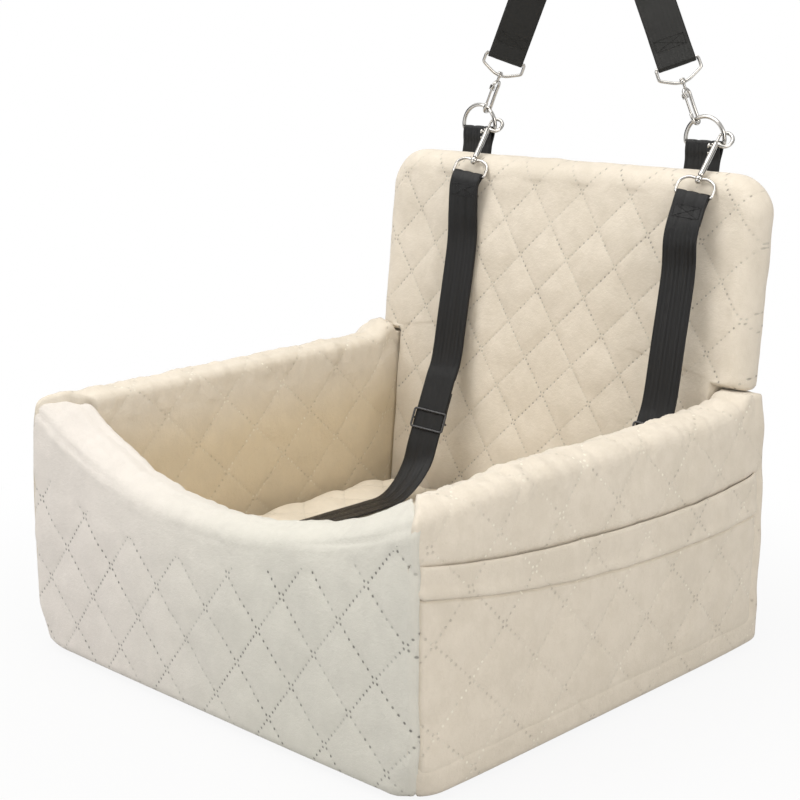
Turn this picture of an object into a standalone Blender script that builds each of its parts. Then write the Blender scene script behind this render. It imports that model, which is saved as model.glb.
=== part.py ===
# Padded dog car seat with a head sling and two clip-on tethers.
# Metres, +Z up. The front wall is towards -Y, the pocket is on the +X side,
# and the origin is the middle of the flat base.

import math

import bmesh
import bpy
from mathutils import Matrix, Vector

# Whole seat
WIDTH = 0.500
DEPTH = 0.480
WALL = 0.040
WALL_HEIGHT = 0.250
FRONT_DROP = 0.066
FRONT_LOW = WALL_HEIGHT - FRONT_DROP
SCOOP_POWER = 2.2
SCOOP_DROP = 0.0035
FRONT_CORNER = 0.022
REAR_CORNER = 0.007
BASE_ROUND = 0.016
TOP_ROUND = 0.007
CROWN = 0.003
COVER = 0.0025
GAP = 0.0003

# Layers under the cushion
PANEL = 0.003
PANEL_INSET = 0.012
BOARD = 0.006
BASE_FOAM = 0.035
LINER = 0.0015
LAYER_CORNER = 0.006

# Cushion
CUSHION = 0.0525
CUSHION_CLEAR = 0.0015
CUSHION_CROWN = 0.003
CUSHION_PULL = 0.005
DIAMOND = 0.064
CHANNEL = 0.0045
ZIP_LENGTH = 0.160
ZIP_SLOT = 0.0016

# Pocket on the right wall
POCKET_DEPTH = 0.009
POCKET_CLOTH = 0.0025
POCKET_BOTTOM = 0.0242
POCKET_END_INSET = 0.012
POCKET_END = DEPTH / 2 - POCKET_END_INSET
POCKET_SEAM = 0.0115
MOUTH_DROP = 0.079
MOUTH_LOW = WALL_HEIGHT - MOUTH_DROP
MOUTH_LOW_Y = 0.085
MOUTH_CURVE = 0.28

# Backrest
BACK_THICK = 0.042
BACK_INSET = 0.006
BACK_WIDTH = WIDTH - 2 * BACK_INSET
BACK_TOP = 0.457
BACK_CORNER = 0.042
BACK_LEAN = 0.095
BACK_AT_WALL_TOP = 0.236
BACK_EDGE_SMALL = 0.3
BACK_BOARD = 0.005
BACK_BOARD_INSET = 0.0225

# D-rings and the tabs that hold them
RING_PLANE = 0.272
RING_MIDDLE = 0.006
RING_FROM_EDGE = 0.0985
RING_SPREAD = BACK_WIDTH / 2 - RING_FROM_EDGE
RING_WIRE = 0.0021
RING_RADIUS = 0.0222
RING_LEG = 0.004
RING_RISE = 0.024
RING_BAR_Z = BACK_TOP + RING_RISE
TAB_CLOTH = 0.0014
TAB_DEPTH = 0.009
TAB_FOOT_Y = 0.268

# Tether snaps
SNAP_SHANK = 0.0030
SNAP_LENGTH = 0.055
SNAP_WIRE = 0.0019
SNAP_HOOK = (0.0070, 0.0085)
SNAP_HOOK_MIDDLE = (0.0065, -0.0020)
SNAP_MOUTH = -0.008
SNAP_STEM = 0.0013
SNAP_HEAD = 0.0031
SNAP_FALL = math.radians(43)
SNAP_SIDE = {"left": 0.215, "right": 0.10}
BOLT = 0.0013
BOLT_BORE = 0.0016
BOLT_REAR = -0.022
BOLT_TIP = -0.0004
BOLT_KNOB = -0.014
BOLT_TRAVEL = 0.0075
BORE_END = -0.031
EYE_WIRE = 0.0015
EYE_HALF = 0.0187
EYE_DROP = 0.017
EYE_BORE = SNAP_STEM + 0.0009
EYE_BARREL = 0.0039
EYE_BARREL_HALF = 0.0017
EYE_FALL = math.radians(58)
EYE_TURN = math.radians(18)

# Tether webbing
TETHER_WIDTH = 0.033
TETHER_CLOTH = 0.0014
LAYER_SPACE = 0.00085
FACE_TURN = math.radians(35)
SEWN_TAIL = 0.030
SLIDER_WIRE = 0.0012
SLIDER_HALF = 0.010
TAIL_LEG = 0.034

TETHER_TOP = (0.1901, 0.2437)
TETHER_FOOT = (0.1440, 0.1340)
TETHER_SHIFT = {"left": 0.0, "right": -0.010}
SLIDER_Z = {"left": 0.179, "right": 0.212}
LOWER_SWIVEL_Y = {"left": -0.052, "right": -0.062}

# Head sling
SLING_WIDTH = 0.038
SLING_CLOTH = 0.0018
SLING_LEAN = math.radians(25)
SLING_HOOK_IN = 0.0115
SLING_TOP_Z = 0.690
SLING_TOP_BEND = 0.030
HOOK_WIRE = 0.0018
HOOK_HALF = 0.0047
HOOK_LENGTH = 0.036
HOOK_NOSE = 0.010
GATE_HINGE = 0.0300
GATE_BAR = 0.0012
LOOP_WIRE = 0.0016
LOOP_HALF = 0.0214
LOOP_HEIGHT = 0.0195
LOOP_SIDE = 0.0105
LOOP_COLLAR = 0.0434

FLOOR_Z = PANEL + GAP
COLOURS = {
    "velvet": ((0.72, 0.66, 0.55, 1), 0.95, 0.0),
    "cushion_velvet": ((0.62, 0.54, 0.42, 1), 0.95, 0.0),
    "lining": ((0.55, 0.50, 0.42, 1), 0.9, 0.0),
    "foam": ((0.85, 0.82, 0.72, 1), 0.9, 0.0),
    "board": ((0.35, 0.30, 0.24, 1), 0.8, 0.0),
    "webbing": ((0.012, 0.012, 0.013, 1), 0.6, 0.0),
    "nickel": ((0.75, 0.74, 0.72, 1), 0.18, 1.0),
    "black_steel": ((0.03, 0.03, 0.032, 1), 0.3, 1.0),
}


# Scene and materials

def clear_scene():
    for obj in list(bpy.data.objects):
        bpy.data.objects.remove(obj, do_unlink=True)


def make_material(name):
    colour, roughness, metallic = COLOURS[name]
    mat = bpy.data.materials.new(name)
    mat.use_nodes = True
    shader = mat.node_tree.nodes["Principled BSDF"]
    shader.inputs["Base Color"].default_value = colour
    shader.inputs["Roughness"].default_value = roughness
    shader.inputs["Metallic"].default_value = metallic
    mat.diffuse_color = colour
    return mat


def add_part(name, solid, finish, origin=(0, 0, 0)):
    """Turn a bmesh into an object whose own origin is at the given point."""
    start = Vector(origin)
    bmesh.ops.translate(solid, verts=solid.verts, vec=-start)
    mesh = bpy.data.meshes.new(name)
    solid.to_mesh(mesh)
    solid.free()
    mesh.materials.append(make_material(finish))
    mesh.shade_smooth()
    mesh.set_sharp_from_angle(angle=math.radians(42))
    obj = bpy.data.objects.new(name, mesh)
    obj.location = start
    bpy.context.scene.collection.objects.link(obj)
    return obj


# Modelling helpers

def loft(sections, closed=False):
    """Skin equal rings of points into one solid, capped unless the rings close on themselves."""
    solid = bmesh.new()
    rings = [[solid.verts.new(point) for point in section] for section in sections]
    pairs = list(zip(rings, rings[1:]))
    if closed:
        pairs.append((rings[-1], rings[0]))
    count = len(rings[0])
    for first, second in pairs:
        for i in range(count):
            j = (i + 1) % count
            solid.faces.new((first[i], first[j], second[j], second[i]))
    if not closed:
        solid.faces.new(rings[0])
        solid.faces.new(rings[-1])
    bmesh.ops.recalc_face_normals(solid, faces=solid.faces)
    return solid


def boolean(solid, tool, operation):
    """Cut or join two solids and give back the result."""
    objects = []
    for shape in (solid, tool):
        bmesh.ops.triangulate(shape, faces=shape.faces)
        mesh = bpy.data.meshes.new("shape")
        shape.to_mesh(mesh)
        shape.free()
        obj = bpy.data.objects.new("shape", mesh)
        bpy.context.scene.collection.objects.link(obj)
        objects.append(obj)
    modifier = objects[0].modifiers.new("Boolean", "BOOLEAN")
    modifier.operation = operation
    modifier.solver = "EXACT"
    modifier.object = objects[1]
    result = bmesh.new()
    result.from_object(objects[0], bpy.context.evaluated_depsgraph_get())
    for obj in objects:
        mesh = obj.data
        bpy.data.objects.remove(obj, do_unlink=True)
        bpy.data.meshes.remove(mesh)
    bmesh.ops.remove_doubles(result, verts=result.verts, dist=0.00001)
    return result


def cut(solid, tool):
    return boolean(solid, tool, "DIFFERENCE")


def join(solid, tool):
    return boolean(solid, tool, "UNION")


def trim(solid, point, normal):
    """Cut away what lies past a plane and close the face."""
    everything = solid.verts[:] + solid.edges[:] + solid.faces[:]
    bmesh.ops.bisect_plane(solid, geom=everything, plane_co=point, plane_no=normal, clear_outer=True)
    bmesh.ops.holes_fill(solid, edges=[edge for edge in solid.edges if edge.is_boundary], sides=0)
    bmesh.ops.recalc_face_normals(solid, faces=solid.faces)


def tangents(points, closed=False):
    result = []
    last = len(points) - 1
    for i in range(len(points)):
        before = points[i - 1] if i > 0 or closed else points[i]
        after = points[(i + 1) % len(points)] if i < last or closed else points[i]
        result.append((Vector(after) - Vector(before)).normalized())
    return result


def tube(points, radius, normal, sides=8, closed=False):
    """Wire along a path that lies in the plane of the given normal. The radius may be a list."""
    up = Vector(normal).normalized()
    sections = []
    for i, (point, along) in enumerate(zip(points, tangents(points, closed))):
        across = up.cross(along).normalized()
        size = radius[i] if isinstance(radius, list) else radius
        turn = [math.tau * (k + 0.5) / sides for k in range(sides)]
        sections.append([Vector(point) + size * (math.cos(t) * across + math.sin(t) * up) for t in turn])
    return loft(sections, closed)


def rod(start, end, radius, sides=12):
    """Straight round bar, or a cone or barrel when the radius is a pair."""
    start = Vector(start)
    end = Vector(end)
    along = (end - start).normalized()
    radii = radius if isinstance(radius, (list, tuple)) else (radius, radius)
    return tube([start, end], list(radii), along.orthogonal(), sides)


def box(low, high):
    x0, y0, z0 = low
    x1, y1, z1 = high
    flat = [(x0, y0), (x1, y0), (x1, y1), (x0, y1)]
    return loft([[(x, y, z) for x, y in flat] for z in (z0, z1)])


def arc(middle, radius, start, end, steps):
    """Points on an arc or ellipse, with angles in degrees."""
    rx, ry = radius if isinstance(radius, (list, tuple)) else (radius, radius)
    points = []
    for i in range(steps + 1):
        angle = math.radians(start + (end - start) * i / steps)
        points.append((middle[0] + rx * math.cos(angle), middle[1] + ry * math.sin(angle)))
    return points


def plate(low, high, corner):
    """Flat layer with rounded corners."""
    x0, y0, z0 = low
    x1, y1, z1 = high
    outline = []
    for cx, cy, start in ((x1, y1, 0), (x0, y1, 90), (x0, y0, 180), (x1, y0, 270)):
        middle = (cx - math.copysign(corner, cx - (x0 + x1) / 2), cy - math.copysign(corner, cy - (y0 + y1) / 2))
        outline += arc(middle, corner, start, start + 90, 3)
    return loft([[(x, y, z) for x, y in outline] for z in (z0, z1)])


def frame_matrix(origin, across, along):
    """Local axes: x across, y along, z out of the plane of both."""
    across = Vector(across)
    along = Vector(along).normalized()
    across = (across - across.dot(along) * along).normalized()
    out = across.cross(along)
    matrix = Matrix((across, along, out)).transposed().to_4x4()
    matrix.translation = Vector(origin)
    return matrix


def placed(solid, matrix):
    solid.transform(matrix)
    return solid


def flat(points):
    """Put a plane outline into the local plane z = 0."""
    return [(x, y, 0) for x, y in points]


# Walls

def front_top(x):
    rise = WALL_HEIGHT - SCOOP_DROP - FRONT_LOW
    return FRONT_LOW + rise * (abs(x) / (WIDTH / 2)) ** SCOOP_POWER


def pocket_mouth(y):
    return MOUTH_LOW + MOUTH_CURVE * (y - MOUTH_LOW_Y) ** 2


def pocket_dent(y, z, spread):
    """How far the right wall's outer face is set in behind the pocket."""
    step = 0.0005
    seat = POCKET_CLOTH + GAP
    slope = 0.004
    ends = POCKET_END + spread
    side = blend(abs(y), [(ends - POCKET_SEAM - slope, POCKET_DEPTH), (ends - POCKET_SEAM, seat),
                          (ends, seat), (ends + step, 0)])
    bottom = POCKET_BOTTOM - GAP - spread
    mouth = pocket_mouth(y) + spread
    height = blend(z, [(bottom - step, 0), (bottom, seat), (bottom + POCKET_SEAM, seat),
                       (bottom + POCKET_SEAM + slope, POCKET_DEPTH), (mouth + 0.008, POCKET_DEPTH),
                       (mouth + 0.030, 0)])
    return min(side, height)


def blend(value, table):
    """Straight-line reading between the pairs of a short table."""
    if value <= table[0][0]:
        return table[0][1]
    for (a, fa), (b, fb) in zip(table, table[1:]):
        if value <= b:
            return fa + (fb - fa) * (value - a) / (b - a)
    return table[-1][1]


def wall_section(top, inset, y=None):
    """Points (s, z) across a wall: s runs from the inner face to the outer face."""
    half = WALL / 2 - inset
    rounding = BASE_ROUND - inset
    edge = TOP_ROUND - inset
    low = FLOOR_Z + inset
    high = top - inset
    foot = 0.004
    under = COVER if inset == COVER else 0
    points = []
    if inset:
        points += [(-WALL / 2 + foot + inset, FLOOR_Z - under), (WALL / 2 - BASE_ROUND - inset, FLOOR_Z - under)]
    else:
        points += [(-half + foot, low)]
    points += arc((half - rounding, low + rounding), rounding, 270, 360, 4)
    if y is None:
        points += [(half, low + (high - low) * k) for k in (0.3, 0.55, 0.8)]
    else:
        spread = min(inset, COVER)
        seat = POCKET_BOTTOM - GAP - spread
        mouth = pocket_mouth(y) + spread
        levels = [seat - 0.0005, seat, seat + POCKET_SEAM, seat + POCKET_SEAM + 0.004, (seat + mouth) / 2,
                  mouth + 0.008, mouth + 0.030]
        points += [(half - pocket_dent(y, z, spread), z) for z in levels]
    points += arc((half - edge, high - edge), edge, 0, 90, 2)
    points += [(0, high + CROWN)]
    points += arc((-half + edge, high - edge), edge, 90, 180, 2)
    points += [(-half, low + foot)]
    if inset:
        points += [(-half + foot, low)]
    return points


def round_corner(solid, sx, sy, radius):
    """Pull a square upright corner of the seat's outline in to a round one."""
    cx = sx * (WIDTH / 2 - radius)
    cy = sy * (DEPTH / 2 - radius)
    for vert in solid.verts:
        dx = (vert.co.x - cx) * sx
        dy = (vert.co.y - cy) * sy
        if dx > 0 and dy > 0:
            scale = max(dx, dy) / math.hypot(dx, dy)
            vert.co.x = cx + sx * dx * scale
            vert.co.y = cy + sy * dy * scale


def corner_steps():
    return [FRONT_CORNER * k for k in (0, 0.16, 0.4, 0.7, 1)]


def side_wall(side, inset):
    sign = 1 if side == "right" else -1
    front = -DEPTH / 2
    rear = DEPTH / 2 - inset
    stops = [front + step for step in corner_steps()] + [rear]
    if side == "right":
        seam = POCKET_END + min(inset, COVER)
        edge = [seam - POCKET_SEAM - 0.004, seam - POCKET_SEAM, seam, seam + 0.0005]
        stops += edge + [-stop for stop in edge] + [-0.12, 0, 0.12]
    else:
        stops += [-0.13, 0, 0.13]
    stops = sorted(stop for stop in set(stops) if stop <= rear)
    sections = []
    for y in stops:
        profile = wall_section(WALL_HEIGHT, inset, y if side == "right" else None)
        sections.append([(sign * (WIDTH / 2 - WALL / 2 + s), y, z) for s, z in profile])
    solid = loft(sections)
    clear = (inset + GAP / 2) * math.sqrt(2)
    trim(solid, (sign * WIDTH / 2, front + clear, 0), (-sign, -1, 0))
    round_corner(solid, sign, -1, FRONT_CORNER)
    slope = inset * math.sqrt(2)
    trim(solid, (sign * (WIDTH / 2 - REAR_CORNER - slope), DEPTH / 2, 0), (sign, 1, 0))
    return solid


def front_wall(inset):
    half = WIDTH / 2
    stops = [half - step for step in corner_steps()] + [0.19, 0.135, 0.07]
    stops = sorted(set(stops + [-stop for stop in stops] + [0]))
    sections = []
    for x in stops:
        profile = wall_section(front_top(x), inset)
        sections.append([(x, -(DEPTH / 2 - WALL / 2 + s), z) for s, z in profile])
    solid = loft(sections)
    clear = (inset + GAP / 2) * math.sqrt(2)
    for sign in (-1, 1):
        trim(solid, (sign * (half - clear), -DEPTH / 2, 0), (sign, 1, 0))
        round_corner(solid, sign, -1, FRONT_CORNER)
    return solid


def build_walls():
    walls = {
        "front": front_wall,
        "left": lambda inset: side_wall("left", inset),
        "right": lambda inset: side_wall("right", inset),
    }
    for name, shape in walls.items():
        add_part(name + "_wall_cover", cut(shape(0), shape(COVER)), "velvet")
        add_part(name + "_wall_foam", shape(COVER + GAP), "foam")


def build_pocket():
    """Cloth panel sewn to the right wall along its bottom and ends, open at the top."""
    outer = WIDTH / 2
    inner = outer - POCKET_CLOTH
    stops = [POCKET_END - GAP, POCKET_END - POCKET_SEAM, POCKET_END - POCKET_SEAM - 0.004, 0.12]
    stops += [-stop for stop in stops] + [0]
    stops += [step - DEPTH / 2 for step in corner_steps() if step > DEPTH / 2 - POCKET_END + GAP]
    stops.sort()
    sections = []
    for y in stops:
        top = pocket_mouth(y)
        levels = [POCKET_BOTTOM + (top - POCKET_BOTTOM) * k for k in (0, 0.25, 0.55, 0.8, 1)]
        face = [(outer, y, z) for z in levels]
        back = [(inner, y, z) for z in reversed(levels)]
        sections.append(face + back)
    panel = loft(sections)
    round_corner(panel, 1, -1, FRONT_CORNER)
    add_part("side_pocket", panel, "velvet")


# Backrest

def back_point(x, out, up):
    """A point of the leaning backrest: out is towards the rear, up is along its lean."""
    lean = math.atan(BACK_LEAN)
    foot_y = BACK_AT_WALL_TOP - BACK_LEAN * WALL_HEIGHT
    y = foot_y + up * math.sin(lean) + out * math.cos(lean)
    z = up * math.cos(lean) - out * math.sin(lean)
    return Vector((x, y, z))


def back_outline(inset, rim):
    """Outline of the backrest drawn in by a cloth inset and by its share of the rim."""
    lean = math.cos(math.atan(BACK_LEAN))
    narrow = WIDTH / 2 - WALL - GAP
    wide = BACK_WIDTH / 2
    foot = FLOOR_Z / lean + 0.0022
    ledge = (WALL_HEIGHT + CROWN + GAP) / lean + 0.0022
    top = BACK_TOP / lean
    small = BACK_THICK / 2 + 0.001
    low = inset + rim * BACK_EDGE_SMALL
    high = inset + rim
    right = [(narrow - low, foot + low), (narrow - low, (foot + ledge) / 2), (narrow - low, ledge + high)]
    right += arc((wide - small, ledge + small), small - high, 270, 360, 3)
    right += arc((wide - BACK_CORNER, top - BACK_CORNER), BACK_CORNER - high, 0, 90, 5)
    left = [(-x, up) for x, up in reversed(right)]
    return right + left


def backrest(inset, drop=0):
    """Rounded slab: rings of its outline stepped round the rim."""
    radius = BACK_THICK / 2 - inset
    sections = []
    for angle in (-90, -60, -30, 0, 30, 60, 90):
        rim = radius * (1 - math.cos(math.radians(angle)))
        out = radius * math.sin(math.radians(angle))
        outline = back_outline(inset, rim)
        if drop:
            foot = outline[0][1] - rim * BACK_EDGE_SMALL - drop
            outline[0] = (outline[0][0], foot)
            outline[-1] = (outline[-1][0], foot)
        sections.append([back_point(x, out, up) for x, up in outline])
    return loft(sections)


def tab_solid(x, extra):
    """Webbing tab folded round the ring's bar, with its tail in the backrest's top seam."""
    reach = RING_WIRE + GAP + TAB_CLOTH + extra
    half = RING_RADIUS - RING_WIRE - GAP + extra
    thick = TAB_CLOTH + extra
    bar = (RING_PLANE, RING_BAR_Z)
    lean = math.atan2(RING_PLANE - TAB_FOOT_Y, RING_BAR_Z - BACK_TOP)
    down = Vector((-math.sin(lean), -math.cos(lean)))
    side = Vector((math.cos(lean), -math.sin(lean)))
    neck = Vector(bar) + down * 0.009
    end = Vector(bar) + down * (RING_BAR_Z - BACK_TOP + 0.004 + TAB_DEPTH + extra)
    turn = -math.degrees(lean)
    outline = arc(bar, reach, turn - 15, turn + 195, 10)
    outline += [neck - side * thick, end - side * thick, end + side * thick, neck + side * thick]
    return loft([[(x + s * half, y, z) for y, z in outline] for s in (-1, 1)])


def ring_x(side):
    return RING_MIDDLE + (RING_SPREAD if side == "right" else -RING_SPREAD)


def build_backrest():
    cover = cut(backrest(0), backrest(COVER, drop=3 * COVER))
    foam = backrest(COVER + GAP, drop=COVER)
    board_out = BACK_THICK / 2 - COVER - GAP
    board_in = board_out - BACK_BOARD
    trim(foam, back_point(0, board_in - GAP, 0), back_point(0, 1, 0) - back_point(0, 0, 0))
    for side in ("left", "right"):
        cover = cut(cover, tab_solid(ring_x(side), GAP))
        foam = cut(foam, tab_solid(ring_x(side), GAP))
    outline = back_outline(BACK_BOARD_INSET, 0)
    board = loft([[back_point(x, out, up) for x, up in outline] for out in (board_in, board_out - 0.0003)])
    add_part("backrest_cover", cover, "velvet")
    add_part("backrest_foam", foam, "foam")
    add_part("backrest_board", board, "board")


# Base layers and cushion

def back_front_face(z):
    """Y of the backrest's front face at a height."""
    return BACK_AT_WALL_TOP + BACK_LEAN * (z - WALL_HEIGHT) - BACK_THICK / 2 / math.cos(math.atan(BACK_LEAN))


def layer_levels():
    board = FLOOR_Z + GAP
    foam = board + BOARD + GAP
    liner = foam + BASE_FOAM + GAP
    cushion = liner + LINER + GAP
    return board, foam, liner, cushion


def build_base():
    half_x = WIDTH / 2 - PANEL_INSET
    half_y = DEPTH / 2 - PANEL_INSET
    add_part("bottom_panel", plate((-half_x, -half_y, 0), (half_x, half_y, PANEL), LAYER_CORNER), "lining")
    board, foam, liner, cushion = layer_levels()
    inner_x = WIDTH / 2 - WALL - GAP
    front = -DEPTH / 2 + WALL + GAP
    rear = back_front_face(FLOOR_Z) - GAP
    layers = (("base_board", board, BOARD, "board"), ("base_foam", foam, BASE_FOAM, "foam"),
              ("floor_liner", liner, LINER, "lining"))
    for name, low, thick, finish in layers:
        add_part(name, plate((-inner_x, front, low), (inner_x, rear, low + thick), LAYER_CORNER), finish)


def cushion_size():
    half_x = WIDTH / 2 - WALL - CUSHION_CLEAR
    front = -DEPTH / 2 + WALL + CUSHION_CLEAR
    rear = back_front_face(layer_levels()[3]) - CUSHION_CLEAR
    return half_x, (rear - front) / 2, (rear + front) / 2


def cushion_dome(x, y):
    """Smooth top of the cushion above its underside, without the channels."""
    half_x, half_y, middle = cushion_size()
    u = min(1, abs(x) / half_x)
    v = min(1, abs(y - middle) / half_y)
    return CUSHION - CUSHION_CROWN + CUSHION_CROWN * math.cos(u * math.pi / 2) * math.cos(v * math.pi / 2)


def cushion_top(x, y):
    """Highest height of the cushion's cloth at a place."""
    return layer_levels()[3] + cushion_dome(x, y)


def channel(x, y):
    """Depth of the sewn diamond channels: nothing in the middle of a diamond, full on its lines."""
    puff = 1
    for value in (x + y, x - y):
        part = abs((value / DIAMOND + 0.5) % 1 - 0.5) * 2
        puff *= math.sin(part * math.pi / 2) ** 0.7
    return CHANNEL * (1 - puff)


def pull(x, y, inset):
    """Draw the sides in between the corners, and move the outline in by an inset."""
    half_x, half_y, middle = cushion_size()
    u = x / half_x
    v = (y - middle) / half_y
    wide = half_x - inset - CUSHION_PULL * (1 - v * v)
    deep = half_y - inset - CUSHION_PULL * (1 - u * u)
    return u * wide, middle + v * deep


def cushion_rings(inset, grid_x, grid_y, levels):
    """Border rings of the cushion from the top edge down: each level is a share of the size and a height."""
    half_x, half_y, middle = cushion_size()
    border = [(x, grid_y[0]) for x in grid_x[:-1]] + [(grid_x[-1], y) for y in grid_y[:-1]]
    border += [(x, grid_y[-1]) for x in reversed(grid_x[1:])] + [(grid_x[0], y) for y in reversed(grid_y[1:])]
    rings = []
    for share, z in levels:
        ring = []
        for x, y in border:
            ux = x / grid_x[-1]
            uy = (y - middle) / (grid_y[-1] - middle)
            px, py = pull(ux * half_x, middle + uy * half_y, inset)
            bx = px * share
            by = middle + (py - middle) * share
            ring.append((bx, by, z))
        rings.append(ring)
    return rings


def steps_across(half, middle, step):
    count = int((half - 0.008) / step)
    return [middle + step * k for k in range(-count, count + 1)]


def cushion_outer():
    half_x, half_y, middle = cushion_size()
    low = layer_levels()[3]
    step = DIAMOND / 4
    grid_x = steps_across(half_x, 0, step)
    grid_y = steps_across(half_y, middle, step)
    solid = bmesh.new()
    rows = []
    for y in grid_y:
        row = []
        for x in grid_x:
            ux = min(1, abs(x) / half_x)
            uy = min(1, abs(y - middle) / half_y)
            edge = 0.004 * (max(ux, uy) > 0.9)
            z = low + cushion_dome(x, y) - channel(x, y - middle) - edge
            row.append(solid.verts.new((x, y, z)))
        rows.append(row)
    for j in range(len(rows) - 1):
        for i in range(len(grid_x) - 1):
            a, b, c, d = rows[j][i], rows[j][i + 1], rows[j + 1][i + 1], rows[j + 1][i]
            along = round((grid_x[i] - (grid_y[j] - middle)) / step) % 4 == 0
            faces = ((a, b, c), (a, c, d)) if along else ((a, b, d), (b, c, d))
            for face in faces:
                solid.faces.new(face)
    previous = rows[0][:-1] + [row[-1] for row in rows[:-1]] + rows[-1][:0:-1]
    previous += [row[0] for row in rows[:0:-1]]
    levels = ((0.975, low + CUSHION * 0.80), (1.0, low + CUSHION * 0.52), (0.985, low + CUSHION * 0.22), (0.94, low))
    for ring in cushion_rings(0, grid_x, grid_y, levels):
        current = [solid.verts.new(point) for point in ring]
        for i in range(len(ring)):
            j = (i + 1) % len(ring)
            solid.faces.new((previous[i], previous[j], current[j], current[i]))
        previous = current
    solid.faces.new(previous)
    bmesh.ops.recalc_face_normals(solid, faces=solid.faces)
    return solid


def cushion_inner(inset):
    half_x, half_y, middle = cushion_size()
    low = layer_levels()[3] + inset
    high = layer_levels()[3] + CUSHION - CUSHION_CROWN - CHANNEL - 0.003 - inset
    grid_x = steps_across(half_x, 0, half_x / 4.5)
    grid_y = steps_across(half_y, middle, half_y / 4.5)
    mid = (low + high) / 2
    levels = ((0.93, high), (0.975, high - 0.006), (0.99, mid), (0.97, low + 0.006), (0.93, low))
    return loft(cushion_rings(inset + 0.003, grid_x, grid_y, levels))


def build_cushion():
    half_x, half_y, middle = cushion_size()
    rear = middle + half_y
    level = layer_levels()[3] + CUSHION * 0.45
    slot = box((-ZIP_LENGTH / 2, rear - 0.04, level), (ZIP_LENGTH / 2, rear + 0.01, level + ZIP_SLOT))
    cover = cut(cut(cushion_outer(), cushion_inner(COVER)), slot)
    add_part("cushion_cover", cover, "cushion_velvet")
    add_part("cushion_fill", cushion_inner(COVER + GAP), "foam")


# D-rings and tabs

def build_rings():
    bend = 0.0025
    for side in ("left", "right"):
        x = ring_x(side)
        z = RING_BAR_Z
        outline = arc((x + RING_RADIUS - bend, z + bend), bend, 270, 360, 3)
        outline += arc((x, z + RING_LEG), RING_RADIUS, 0, 180, 13)
        outline += arc((x - RING_RADIUS + bend, z + bend), bend, 180, 270, 3)
        points = [(px, RING_PLANE, pz) for px, pz in outline]
        ring = tube(points, RING_WIRE, (0, 1, 0), 8, closed=True)
        add_part(side + "_ring", ring, "nickel", (x, RING_PLANE, z))
        half = RING_RADIUS
        bar = rod((x - half, RING_PLANE, z), (x + half, RING_PLANE, z), RING_WIRE + GAP, 16)
        add_part(side + "_ring_tab", cut(tab_solid(x, 0), bar), "webbing")


# Tether snaps: x is across the snap, y runs up its shank, and the ring's wire is near the hook's middle

def mirrored(half):
    return half + [(-x, y) for x, y in reversed(half)]


def snap_body():
    play = 2 * EYE_BARREL_HALF
    swivel = -SNAP_LENGTH
    body = rod((0, swivel + play, 0), (0, SNAP_MOUTH, 0), SNAP_SHANK, 12)
    path = flat(arc(SNAP_HOOK_MIDDLE, SNAP_HOOK, 235, 520, 13))
    radii = [SNAP_WIRE] * (len(path) - 2) + [SNAP_WIRE * 0.9, SNAP_WIRE * 0.75]
    body = join(body, tube(path, radii, (0, 0, 1), 8))
    stem = rod((0, swivel - play, 0), (0, swivel + play + 0.001, 0), SNAP_STEM, 10)
    head = rod((0, swivel - play - 0.0018, 0), (0, swivel - play + 0.0002, 0), (0.7 * SNAP_HEAD, SNAP_HEAD), 12)
    body = join(body, join(stem, head))
    bore = rod((0, BORE_END, 0), (0, SNAP_MOUTH / 2, 0), BOLT_BORE, 12)
    room = 0.0019
    slot = box((-1.5 * SNAP_SHANK, BOLT_KNOB - BOLT_TRAVEL - room, -0.0018), (0, BOLT_KNOB + room, 0.0018))
    return cut(cut(body, bore), slot)


def bolt_solid():
    pin = rod((0, BOLT_REAR, 0), (0, BOLT_TIP, 0), BOLT, 10)
    knob = rod((-0.0064, BOLT_KNOB, 0), (-0.0005, BOLT_KNOB, 0), 0.0015, 10)
    return join(pin, knob)


def eye_solid():
    half = [(-0.0034, 0), (-0.008, 0.0004), (-EYE_HALF + 0.0060, -0.0008), (-EYE_HALF + 0.0022, -0.0034)]
    half += [(-EYE_HALF + 0.0002, -0.0072), (-EYE_HALF, 0.0011 - EYE_DROP), (-EYE_HALF + 0.0011, -EYE_DROP)]
    loop = tube(flat(mirrored(half)), EYE_WIRE, (0, 0, 1), 8)
    barrel = rod((0, -EYE_BARREL_HALF, 0), (0, EYE_BARREL_HALF, 0), EYE_BARREL, 12)
    bore = rod((0, -EYE_BARREL, 0), (0, EYE_BARREL, 0), EYE_BORE, 12)
    return cut(join(barrel, loop), bore)


def turned(angle=FACE_TURN):
    return Vector((math.cos(angle), math.sin(angle), 0))


def upper_frames(side):
    """Frames of the snap body and of its eye at a D-ring."""
    fall = Vector((SNAP_SIDE[side], -math.cos(SNAP_FALL), -math.sin(SNAP_FALL)))
    wire = Vector((ring_x(side) + RING_RADIUS, RING_PLANE, RING_BAR_Z + RING_LEG + 0.0015))
    body = frame_matrix((0, 0, 0), turned(), -fall)
    body.translation = wire - body.to_3x3() @ Vector((0.0055, -0.0015, 0))
    swivel = body @ Vector((0, -SNAP_LENGTH, 0))
    eye = frame_matrix(swivel, turned(EYE_TURN), (0, math.cos(EYE_FALL), math.sin(EYE_FALL)))
    return body, eye


def lower_frames(side):
    """Frames of the snap body and of its eye that lie on the cushion."""
    x = tether_x(side)
    y = LOWER_SWIVEL_Y[side]
    z = cushion_top(x, y) + GAP + EYE_BARREL
    eye = frame_matrix((x, y, z), (1, 0, 0), (0, -1, 0))
    body = eye.copy()
    body.translation = eye @ Vector((0, SNAP_LENGTH, 0))
    return body, eye


def tether_x(side):
    body, eye = upper_frames(side)
    return eye.translation.x


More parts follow.
